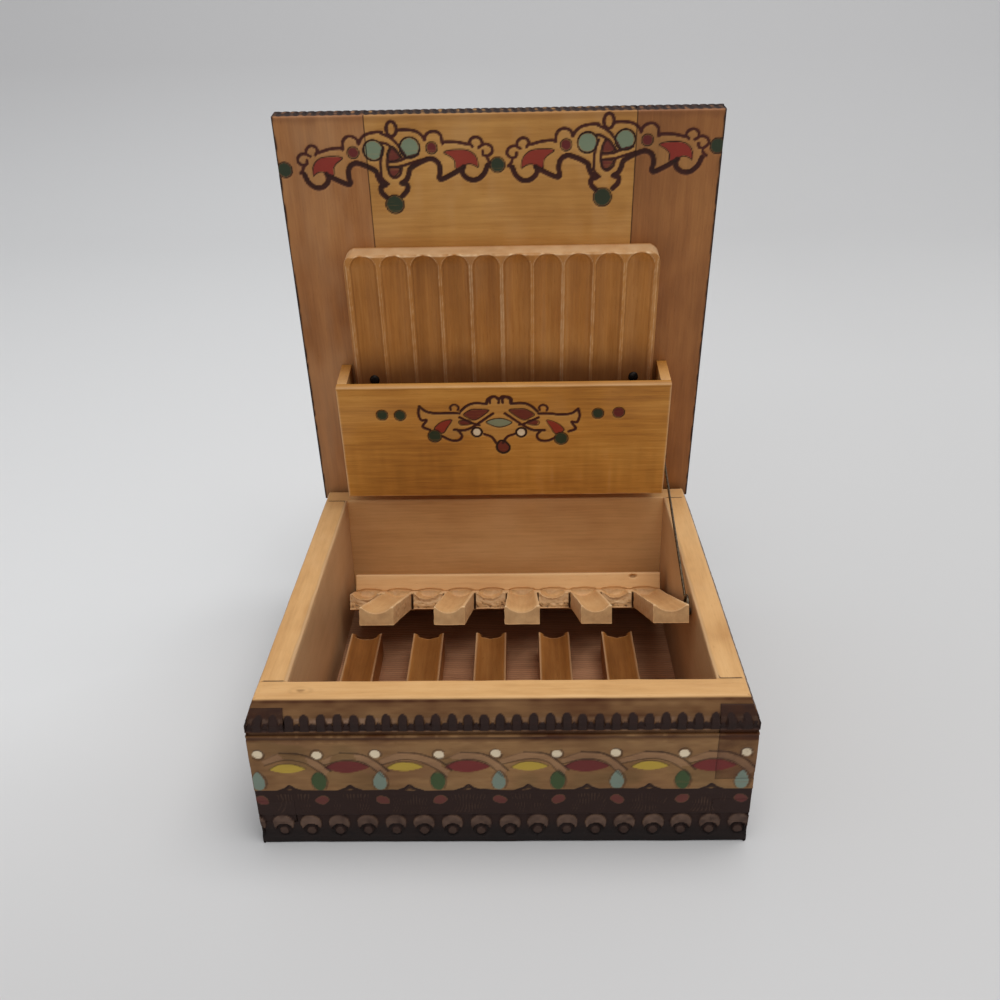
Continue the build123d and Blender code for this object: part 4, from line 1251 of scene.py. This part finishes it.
def draw_wings(marks):
    """The pair of wings on the pocket's front."""
    for side in (1, -1):
        marks.fill(placed(WING_FIELD, side), PALE_GOLD, 0.38, smooth=False, depth=0.0)
        for points, colour in zip(WING_LEAVES, (OXBLOOD, OXBLOOD, RED)):
            marks.fill(placed(points, side), colour, 0.95, edge=0.35)
        for points in WING:
            marks.line(placed(points, side), 0.95, burn=0.55, colour=MAROON)
        marks.line(placed(WING_RING, side), 0.75, burn=0.5, colour=MAROON)
    for u in (-2.75, 1.45):
        marks.line(arc(u, 49.2, 1.6, 1.5, -0.5, 3.6, 7), 0.9, burn=0.55, colour=MAROON)
    for u, v in ((-8.9, 37.5), (6.1, 37.25)):
        marks.dot(u, v, 1.35, 1.35, CREAM, ring=0.7)
    teal = [(-5.6, 41.3), (-2.8, 42.5), (0.2, 42.5), (3.0, 41.1), (0.3, 39.6), (-2.6, 39.6)]
    pendant = [(-1.2, 34.0), (-2.3, 31.9), (-1.6, 30.0), (0.0, 29.3), (1.6, 30.0), (2.1, 31.8), (0.6, 33.8)]
    marks.fill(teal, TEAL, 0.9, edge=0.4)
    marks.fill(pendant, OXBLOOD, 0.95, edge=0.75)
    marks.dot(-23.2, 36.2, 2.15, 2.15, GREEN, ring=0.35)
    marks.dot(19.6, 34.7, 2.15, 2.15, GREEN, ring=0.35)
    for u, v in ((-40.4, 44.4), (-34.4, 44.2), (31.7, 44.1), (38.6, 44.4)):
        marks.dot(u, v, 1.8, 1.8, OXBLOOD if u > 35 else GREEN, ring=0.3)


def build_lid_block(node, radius, seed, step, marker=None, grain_up=False):
    """A flat board of the pocket, seen from the front, with worn round edges."""
    low, high = lid_span(node)
    outline = rectangle(low, high)

    def front(u, v):
        marks = marker(u, v) if marker else no_marks(len(u))
        gap = edge_distance(u, v, outline)
        fall = rounding(gap, radius * (0.8 + 0.3 * bumps(u, v, 5.0, seed)))
        if marker:
            marks.tone += 0.3 * peak(high[1] - v, 0.75, 0.2)
        marks.tone -= 0.35 * (1 - ramp(gap, 0.2, 0.7))
        return on_lid(u, v, high[2] - marks.depth - fall + 0.05 * bumps(u, v, 9.0, seed + 1)), marks

    def back(u, v):
        return on_lid(u, v, low[2] + rounding(edge_distance(u, v, outline), 0.3)), no_marks(len(u))

    keep = [from_ends(low[k], high[k], (0.02, 0.1, 0.25, radius)) for k in (0, 1)]
    made = board(outline, front, back, step, (3, 3), keep, rows=1)
    grain = lid_grain(23 * seed, 37 * seed, grain_up)
    return make_piece(f"{node}_board", made, grain, POCKET_WOOD, "lid", [node])


def pocket_marks(u, v):
    marks = Marks(u, v)
    lower = 1 - ramp(v + 2.0 * bumps(u, 0 * u, 9.0, 46), 20.0, 40.0)
    marks.tone = 0.07 * lower + 0.1 * lower * bumps(u * 3.0, v * 0.5, 5.0, 47) + 0.05 * bumps(u, v, 9.0, 48)
    draw_wings(marks)
    return marks


build_lid_block("pocket_front", 0.5, 5, (0.33, 0.33), pocket_marks)
build_lid_block("pocket_left_cheek", 0.4, 6, (0.8, 1.5), grain_up=True)
build_lid_block("pocket_right_cheek", 0.4, 7, (0.8, 1.5), grain_up=True)
build_lid_block("pocket_floor", 0.3, 8, (2.0, 0.8))


# Fluted board
FLUTE_PITCH = 9.7
FLUTE_SINK = 2.0
FLUTE_HALF = 4.45
FLUTE_TOP_MARGIN = -0.35
BOARD_CORNER = 3.5


def build_fluted_board():
    low, high = lid_span("fluted_board")
    middle = (low[0] + high[0]) / 2
    half = (high[0] - low[0]) / 2

    def squeeze(u, v):
        """Draw the sides in where the top corners are rounded."""
        t = np.clip((v - (high[1] - BOARD_CORNER)) / BOARD_CORNER, 0, 0.97)
        off = u - middle
        beyond = np.clip(np.abs(off) - (half - BOARD_CORNER), 0, None)
        return u - np.sign(off) * beyond * (1 - np.sqrt(1 - t * t))

    def flutes(u, v):
        k = (u - middle) / FLUTE_PITCH - 0.5
        x = (k - np.round(k)) * FLUTE_PITCH
        wobble = 0.12 * bumps(u, v, 30.0, 41) + 0.1 * bumps(u, v, 1.3, 49)
        top = high[1] - FLUTE_TOP_MARGIN
        half_width = FLUTE_HALF + wobble
        round_part = np.clip(v - (top - half_width), 0, None)
        reach = np.hypot(x, round_part) / half_width
        radius = (half_width**2 + FLUTE_SINK**2) / (2 * FLUTE_SINK)
        bowl = np.sqrt(np.clip(radius**2 - (reach * half_width) ** 2, 0, None)) - (radius - FLUTE_SINK)
        return np.clip(bowl, 0, None), reach

    def front(u, v):
        sink, reach = flutes(u, v)
        u = squeeze(u, v)
        edge = np.minimum(np.minimum(half - np.abs(u - middle), high[1] - v), v - low[1])
        fall = rounding(edge, 0.5 + 0.1 * bumps(u, v, 5.0, 43))
        marks = no_marks(len(u))
        # Painted shade: darker flute middles and dark lines beside the lands. Pale lines along the flutes'
        # edges and the top edge: painted highlights, and frayed fibres.
        frayed_and_highlit = 0.7 + 0.5 * bumps(u, v, 1.1, 51)
        marks.tone = 0.08 * (1 - ramp(reach, 0.5, 0.95)) + 0.1 * bumps(u, v * 0.03, 2.3, 56)
        marks.tone -= 0.5 * frayed_and_highlit * peak(reach, 1.0, 0.035)
        marks.tone += 0.3 * peak(reach, 0.88, 0.045)
        above_foot = v + 2 * bumps(u, 0 * u, 6.0, 54) - low[1]
        marks.wash(0.62 * (1 - ramp(above_foot, 37.0, 50.0)), RUSSET)
        marks.tone -= 0.6 * frayed_and_highlit * (1 - ramp(high[1] - v, 0.25, 0.6))
        marks.tone += 0.07 * bumps(u * 2.5, v * 0.4, 9.0, 52)
        chatter = 0.05 * bumps(u, v, 2.2, 44) + 0.05 * bumps(u * 3, v * 0.4, 1.5, 45)
        return on_lid(u, v, high[2] - np.maximum(sink, fall) + chatter * (sink > 0.1)), marks

    def back(u, v):
        return on_lid(squeeze(u, v), v, low[2] + 0 * u), no_marks(len(u))

    def rim(u, v, share, places, marks):
        """The top edge is bare and pale: light end grain, with painted light on its top face."""
        marks.tone = np.where(v > high[1] - BOARD_CORNER, -0.6 + 0.15 * bumps(u, share * 8, 3.0, 55), 0.0)
        return places

    corner = [high[1] - BOARD_CORNER * (1 - math.sin(t)) for t in np.linspace(0, math.pi / 2, 9)]
    sides = from_ends(low[0], high[0], (0.05, 0.2, 0.5))
    tops = [high[1] - r for r in (0.03, 0.12, 0.3, 0.6)]
    keep = (sides, [*corner, *tops, *grid_lines(high[1] - 7.0, high[1] - 0.6, 0.35)])
    made = board(rectangle(low, high), front, back, (0.36, 0.8), (3, 4), keep, (sides, corner), 5, rim)
    grain = lid_grain(0, 400, True)
    return make_piece("fluted_board_carved", made, grain, FLUTED_WOOD, "lid", ["fluted_board"])


build_fluted_board()


# Heads of the two screws in the fluted board
HEAD_PROFILE = ((0.5, 0.8), (1.05, 0.68), (1.5, 0.42), (1.74, 0.05), (1.76, -0.5), (1.0, -0.9))
HEAD_SIDES = 24


def build_screw_heads():
    """Dark domed heads, low in the first and last flute."""
    spots = off_lid(node_points("fluted_board_screws"))
    turns = np.arange(HEAD_SIDES) * 2 * math.pi / HEAD_SIDES
    places = []
    faces = []
    for side in (-1, 1):
        own = spots[spots[:, 0] * side > 0]
        u, v, _ = (own.min(0) + own.max(0)) / 2
        start = len(places)
        for radius, rise in HEAD_PROFILE:
            ring = radius * (1 + 0.02 * np.cos(5 * turns + side))
            places.extend(on_lid(u + ring * np.cos(turns), v + ring * np.sin(turns), own[:, 2].max() + rise))
        last = start + (len(HEAD_PROFILE) - 1) * HEAD_SIDES
        for row in range(start, last, HEAD_SIDES):
            for k in range(HEAD_SIDES):
                a, b = row + k, row + (k + 1) % HEAD_SIDES
                faces.append((a, b, b + HEAD_SIDES, a + HEAD_SIDES))
        faces.append(tuple(range(start, start + HEAD_SIDES))[::-1])
        faces.append(tuple(range(last, last + HEAD_SIDES)))
    blank = {name: np.zeros(len(places)) for name in ("burn", "tone")}
    made = (np.array(places), faces, {"paint": np.zeros((len(places), 4)), **blank})
    make_piece("board_screw_heads", made, lambda p: p, DARK_STEEL, "lid", ["fluted_board_screws"])


build_screw_heads()


# Rails on the floor
SCOOP_HALF = 4.75
SCOOP_SINK = 2.0
RAIL_SINK = 1.6


def scoop(offset, half=SCOOP_HALF, sink=SCOOP_SINK):
    """The depth of a round hollow at an offset from its middle."""
    radius = (half**2 + sink**2) / (2 * sink)
    inner = np.clip(radius**2 - np.minimum(np.abs(offset), half) ** 2, 0, None)
    return np.sqrt(inner) - (radius - sink)


def build_rail(number):
    node = f"rail_{number}"
    low, high = node_points(node).min(0), node_points(node).max(0)
    middle = (low[0] + high[0]) / 2
    outline = rectangle(low, high)

    def front(x, y):
        drift = 0.25 * bumps(y, 0 * y, 26.0, 50 + number)
        sink = scoop(x - middle - drift, SCOOP_HALF, RAIL_SINK)
        land = np.abs(x - middle)
        fall = rounding(edge_distance(x, y, outline), 0.18)
        chips = 0.35 * ramp(bumps(x, y, 1.6, 60 + number), 0.35, 0.9) * ramp(land, 3.9, 4.8)
        marks = no_marks(len(x))
        marks.tone = 0.14 * (1 - ramp(land, 3.2, 4.5)) - 0.5 * ramp(land, 4.55, 4.85)
        marks.tone += 0.09 * bumps(x * 2, y * 0.5, 7.0, 70 + number)
        from_back = high[1] - y + 0.3 * bumps(x, y, 0.9, 80 + number)
        notch = (1 - ramp(from_back, 0.9, 1.5)) * (1 - ramp(land, 3.3, 3.9))
        pale_rim = peak(from_back, 1.6, 0.25) * (1 - ramp(land, 3.6, 4.2))
        marks.tone += 0.75 * notch - 0.5 * pale_rim
        z = high[2] - np.maximum(sink, fall) - chips - 0.45 * notch + 0.04 * bumps(x * 4, y * 0.3, 1.3, 90)
        return columns(x, y, z), marks

    def back(x, y):
        return columns(x, y, low[2] + 0 * x), no_marks(len(x))

    def rim(x, y, share, places, marks):
        """Rough end grain at the back end."""
        end = np.abs(y - high[1]) < 0.01
        rough = bumps(x, places[:, 2], 0.5, 100 + number) + bumps(x, places[:, 2], 1.4, 101 + number)
        places[:, 1] -= np.where(end, 0.2 + 0.2 * rough, 0)
        marks.tone = np.where(end, -0.3 + 0.3 * rough, 0.0)
        return places

    keep_x = from_ends(low[0], high[0], (0.03, 0.1, 0.3, 0.8))
    keep_y = [high[1] - r for r in (0.05, 0.2, 0.5, 0.8, 1.1, 1.4, 1.7, 2.1)]
    made = board(outline, front, back, (0.4, 1.0), (3, 8), (keep_x, keep_y), rows=7, rim=rim)

    def grain(places):
        return places[:, [1, 0, 2]] + np.array([91.0 * number, 37.0 * number, 0])

    return make_piece(f"{node}_scooped", made, grain, RAIL_WOOD, "box", [node])


for rail_number in range(1, 6):
    build_rail(rail_number)


# Lifting comb
def lowered_span(node):
    points = off_comb(node_points(node))
    return points.min(0), points.max(0)


COMB_LOW, COMB_HIGH = lowered_span("comb_board")
COLUMNS = 10
COLUMN = (COMB_HIGH[0] - COMB_LOW[0]) / COLUMNS
PRONG_LENGTH = 52.5
ROOT = COMB_LOW[1] + PRONG_LENGTH
RELIEF = 0.45
UNDERSIDE_LIFT = 0.6
KERF = 0.3
KERF_LENGTH = 2.6
STOP_FACE = lowered_span("comb_stop_strip")[0][1]
# Where the hand-sawn prongs' sides end up at their tips, as the photograph shows them
SAWN_TIPS = ((-42.3, -32.35), (-20.2, -11.1), (0.8, 11.05), (23.35, 32.3), (44.6, 54.9))


def comb_outline():
    """The comb's flat outline as it is sawn, and where its prongs' sides stand."""
    left = COMB_LOW[0]
    slot_end = ROOT + KERF_LENGTH
    points = [(left, ROOT)]
    edges = []
    for column in range(1, COLUMNS, 2):
        a = left + column * COLUMN
        b = a + COLUMN
        points += [(a - KERF, ROOT), (a - KERF, slot_end), (a + RELIEF, slot_end), (a + RELIEF, COMB_LOW[1])]
        points += [(b - RELIEF, COMB_LOW[1])]
        edges += [a + RELIEF, b - RELIEF]
        if column < COLUMNS - 1:
            points += [(b - RELIEF, slot_end), (b + KERF, slot_end), (b + KERF, ROOT)]
        else:
            points += [(b - RELIEF, ROOT), (b, ROOT)]
    points += [(COMB_HIGH[0], COMB_HIGH[1]), (left, COMB_HIGH[1])]
    return np.array(points), edges


def build_comb():
    outline, edges = comb_outline()
    shifts = np.array(SAWN_TIPS).ravel() - np.array(edges)

    def warp(x, y):
        share = np.clip((ROOT - y) / PRONG_LENGTH, 0, 1)
        return x + share * np.interp(x, edges, shifts) + share * 0.12 * bumps(x, y, 9.0, 120)

    def front(x, y):
        column = (x - COMB_LOW[0]) / COLUMN
        offset = (column - np.floor(column) - 0.5) * COLUMN
        offset = np.where(column >= COLUMNS - 1e-6, COLUMN / 2, offset)
        wobble = 0.25 * bumps(x * 0 + np.floor(column) * 7.3, y, 11.0, 121)
        ends = STOP_FACE - 0.35 + 0.2 * bumps(x, 0 * x, 2.6, 119)
        sink = scoop(offset + 0.22 + wobble, 4.35, SCOOP_SINK) * (1 - ramp(y, ends - 0.3, ends))
        gap = edge_distance(x, y, outline)
        fall = rounding(gap, 0.15)
        fuzz = ramp(bumps(x, y, 1.1, 122), 0.1, 0.9) * (1 - ramp(gap, 0.3, 1.0)) * (y > COMB_LOW[1] + 1)
        marks = no_marks(len(x))
        land = np.abs(offset)
        marks.tone = 0.02 * (1 - ramp(land, 3.0, 4.4)) - 0.3 * fuzz
        # Painted highlights on the scoops' lips.
        marks.tone -= 0.4 * np.where(offset > 0, ramp(offset, 4.0, 4.2), ramp(-offset, 4.45, 4.65))
        # A painted shadow line where the scoops end below the stop strip.
        marks.tone += 0.4 * peak(y, ends, 0.3)
        # A painted highlight along the tips' front edge.
        marks.tone -= 0.5 * (1 - ramp(y - COMB_LOW[1], 0.25, 0.6))
        # Painted shade in the kerf slits.
        kerf_shade = (y > ROOT + 0.3) & (y < ROOT + KERF_LENGTH + 0.2) & (gap < 0.05)
        marks.tone += 0.9 * kerf_shade
        at_root = (1 - ramp(gap, 0.0, 1.4)) * (y > ROOT - 0.5) * (y < ROOT + 4)
        marks.tone -= 0.3 * at_root * (0.6 + 0.6 * bumps(x, y, 0.7, 123))
        crumble = 0.25 * at_root * (0.5 + 0.5 * bumps(x, y, 0.6, 124))
        z = COMB_HIGH[2] - np.maximum(sink, fall) - 0.25 * fuzz - crumble
        z = z + 0.03 * bumps(x * 3, y * 0.3, 1.2, 125)
        return on_comb(warp(x, y), y, z), marks

    def back(x, y):
        lift = np.where(y < ROOT + 0.1, UNDERSIDE_LIFT, UNDERSIDE_LIFT * (1 - ramp(y, ROOT, ROOT + 3.0)))
        z = COMB_LOW[2] + lift + 0.08 * (1 + bumps(x, y, 3.0, 126))
        return on_comb(warp(x, y), y, z), no_marks(len(x))

    def rim(x, y, share, places, marks):
        """Torn end grain between the prongs, saw-rough sides and clean-cut tips, with painted shade low on
        the end grain, in the kerfs and on the tips' faces.
        """
        at_root = (np.abs(y - ROOT) < 0.01) | ((y > ROOT) & (y < ROOT + KERF_LENGTH + 0.01))
        at_tip = y < COMB_LOW[1] + 0.01
        prong_side = ~at_root & ~at_tip & (y < ROOT)
        depth = share * (COMB_HIGH[2] - COMB_LOW[2])
        rough = bumps(x, depth, 0.55, 127) + 0.8 * bumps(x, depth, 1.6, 128)
        torn = (0.3 + 0.16 * rough) * ramp(share, 0.0, 0.2)
        in_kerf = (y > ROOT + 0.3) & (y < ROOT + KERF_LENGTH + 0.01)
        sawn = 0.14 * (bumps(y, depth, 0.8, 129) + bumps(y, depth * 0.3, 2.4, 130))
        push_y = torn * (np.abs(y - ROOT) < 0.01)
        shift = on_comb(sawn * prong_side, push_y, 0 * x) - on_comb(0 * x, 0 * x, 0 * x)
        speck = 0.75 * ramp(bumps(x, depth, 0.37, 134) + 0.3 * rough, 0.15, 0.8)
        # Painted shade on the lower part of the torn end grain, in the kerfs and on the tips' faces.
        shaded_low_part = 0.7 * ramp(share + 0.15 * bumps(x, 0 * x, 1.4, 133), 0.5, 0.75)
        marks.tone = np.where(at_root, -0.5 + speck + shaded_low_part, 0.0)
        marks.tone = np.where(in_kerf, 0.95, marks.tone)
        marks.tone = np.where(at_tip, 0.34 + 0.1 * bumps(x, depth, 2.0, 131), marks.tone)
        marks.tone = np.where(prong_side, -0.3 + 0.3 * bumps(y, depth, 1.2, 132), marks.tone)
        return places + shift

    near = (0.03, 0.15, 0.5)
    keep_x = beside(edges, (*near, *(-r for r in near)))
    keep_y = [COMB_LOW[1] + r for r in near] + [STOP_FACE - 0.4, STOP_FACE]
    keep_y += [*grid_lines(ROOT - 3.0, ROOT + 4.0, 0.35)]
    made = board(outline, front, back, (0.45, 0.9), (0.9, 2.5), (keep_x, keep_y), ((), ()), rows=12, rim=rim)

    def grain(places):
        return off_comb(places)[:, [1, 0, 2]] + np.array([0, 700.0, 0])

    name = "comb_board"
    return make_piece(f"{name}_sawn", made, grain, COMB_WOOD, "comb", [name], sharp=50)


build_comb()


STRIP_SHORT = 0.6
SCOOP_ARCH = 0.8


def build_strip():
    """The stop strip, with a small dent in its face near the right end, a painted shadow line along the arcs
    where the comb's scoops meet it, and a painted highlight along its top edge.
    """
    low, high = lowered_span("comb_stop_strip")
    low[0] += STRIP_SHORT
    outline = rectangle(low[[0, 2]], high[[0, 2]])

    def front(x, z):
        fall = rounding(edge_distance(x, z, outline), 0.35 + 0.15 * bumps(x, z, 6.0, 141))
        dent = 0.9 * (1 - ramp(np.hypot((x - 45.2) / 1.6, (z - high[2] + 1.2) / 0.9), 0.5, 1.0))
        column = (x - COMB_LOW[0]) / COLUMN
        offset = (column - np.floor(column) - 0.5) * COLUMN / 4.6
        arch = SCOOP_ARCH * np.sqrt(np.clip(1 - offset**2, 0, 1)) - (z - low[2])
        arch += 0.15 * bumps(x, z, 1.6, 143)
        scooped = ramp(arch, -0.1, 0.1)
        marks = no_marks(len(x))
        # Painted shade: a dark line along the arcs where the scoops meet the strip, a little darker below
        # them; a painted highlight along the top edge.
        marks.tone = 0.45 * dent - 0.2 * (1 - ramp(high[2] - z, 0.3, 0.9))
        line = peak(arch, 0, 0.2) * (0.5 + 0.5 * bumps(x, z, 2.1, 144))
        marks.tone += 0.1 * scooped + 0.22 * line
        y = low[1] + np.maximum(fall, 0.4 * scooped) + dent + 0.08 * bumps(x, z, 7.0, 142)
        return on_comb(x, y, z), marks

    def back(x, z):
        fall = rounding(edge_distance(x, z, outline), 0.4)
        return on_comb(x, high[1] - fall, z), no_marks(len(x))

    keep = [from_ends(low[k], high[k], (0.03, 0.12, 0.3, 0.5)) for k in (0, 2)]
    made = board(outline, front, back, (0.4, 0.28), (3, 2), keep, keep, rows=2)

    def grain(places):
        return off_comb(places) + np.array([900.0, 0, 0])

    name = "comb_stop_strip"
    return make_piece(f"{name}_planed", made, grain, COMB_WOOD, "comb", [name])


build_strip()

# CAD nodes that keep their own shape
for node_name, material in (
    ("floor_panel", PLY_WOOD),
    ("floor_nails", DARK_STEEL),
    ("comb_pivot_pins", DARK_STEEL),
    ("hinge_eyes", STEEL),
    ("hinge_staples", STEEL),
    ("cheek_wire_nail", DARK_STEEL),
    ("prong_wire_nail", DARK_STEEL),
    ("lift_wire", WIRE_STEEL),
):
    mesh = frame["nodes"][node_name].data
    mesh.materials.clear()
    mesh.materials.append(material)

# Floor and backdrop as one bent sheet, in metres
FLOOR_FRONT = -1.6
BEND_START = 0.75
BEND_RADIUS = 0.6
BACKDROP_TOP = 2.2
BACKDROP_HALF = 2.4


def build_stage():
    profile = [(FLOOR_FRONT, 0.0), (BEND_START, 0.0)]
    for t in np.linspace(0, math.pi / 2, 25)[1:]:
        profile.append((BEND_START + BEND_RADIUS * math.sin(t), BEND_RADIUS * (1 - math.cos(t))))
    profile.append((BEND_START + BEND_RADIUS, BACKDROP_TOP))
    points = [(x, y, z) for y, z in profile for x in (-BACKDROP_HALF, BACKDROP_HALF)]
    faces = [(2 * k, 2 * k + 1, 2 * k + 3, 2 * k + 2) for k in range(len(profile) - 1)]
    mesh = bpy.data.meshes.new("studio_sheet")
    mesh.from_pydata(points, [], faces)
    mesh.polygons.foreach_set("use_smooth", [True] * len(faces))
    material, tree, shader = new_material("studio_paper", 0.9)
    place = add(tree, "ShaderNodeTexCoord").outputs["Object"]
    mottle = noise(tree, place, (1.5, 1.5, 1.5), 2.0).outputs["Fac"]
    colour = blend(tree, mottle, srgb(206, 205, 203), srgb(214, 213, 212))
    place_x, place_y, place_z = add(tree, "ShaderNodeSeparateXYZ", {0: place}).outputs
    # Painted light: paler zones on the paper towards the back and on the left, as where more light falls.
    leftward = spread(tree, place_x, 0.25, -0.35, 0.35, 1.0)
    paler = times(tree, spread(tree, place_y, -0.05, 0.35), leftward)
    on_left = times(tree, spread(tree, place_y, -0.13, 0.02), spread(tree, place_x, 0.0, -0.16))
    paler = maths(tree, "ADD", paler, on_left, clamp=True)
    colour = blend(tree, paler, colour, srgb(231, 231, 230))
    colour = blend(tree, spread(tree, place_z, 0.0, 0.14), colour, srgb(212, 211, 210))
    tree.links.new(colour, shader.inputs["Base Color"])
    mesh.materials.append(material)
    sheet = new_object("studio_sheet", mesh)


build_stage()


# Light and camera
def area_light(name, place, target, size, power):
    data = bpy.data.lights.new(name, "AREA")
    data.shape = "RECTANGLE"
    data.size, data.size_y = size
    data.energy = power
    lamp = new_object(name, data)
    lamp.location = place
    lamp.rotation_euler = (Vector(target) - Vector(place)).to_track_quat("-Z", "Y").to_euler()


area_light("key", (0.3, -0.1, 1.47), (0, 0, 0), (1.4, 1.1), 14.6)
area_light("fill", (-0.3, -1.4, 0.8), (0, 0, 0.05), (1.2, 0.8), 2.0)

world = bpy.data.worlds.new("studio")
world.use_nodes = True
world.node_tree.nodes["Background"].inputs["Color"].default_value = (0.93, 0.95, 1.0, 1.0)
world.node_tree.nodes["Background"].inputs["Strength"].default_value = 0.42
bpy.context.scene.world = world

CAMERA_PLACE = (5.76 * MM, -288.71 * MM, 208.12 * MM)
CAMERA_PITCH = math.radians(29.23)
CAMERA_YAW = math.radians(-1.35)
CAMERA_ROLL = math.radians(-1.18)
CAMERA_LENS = 37.776
CAMERA_SHIFT_Y = 0.0797


def build_camera():
    """The camera from which the photograph was taken."""
    pitch, yaw, roll = CAMERA_PITCH, CAMERA_YAW, CAMERA_ROLL
    look = Vector((math.sin(yaw) * math.cos(pitch), math.cos(yaw) * math.cos(pitch), -math.sin(pitch)))
    level = Vector((math.cos(yaw), -math.sin(yaw), 0))
    upright = level.cross(look)
    right = math.cos(roll) * level + math.sin(roll) * upright
    up = -math.sin(roll) * level + math.cos(roll) * upright
    data = bpy.data.cameras.new("camera")
    data.lens = CAMERA_LENS
    data.sensor_width = 36.0
    data.shift_y = CAMERA_SHIFT_Y
    data.clip_start = 0.01
    camera = new_object("camera", data)
    camera.matrix_world = Matrix.Translation(CAMERA_PLACE) @ Matrix((right, up, -look)).transposed().to_4x4()
    bpy.context.scene.camera = camera


build_camera()
bpy.context.scene.view_settings.view_transform = "Standard"


def plain(box):
    return [[float(value) for value in corner] for corner in box]
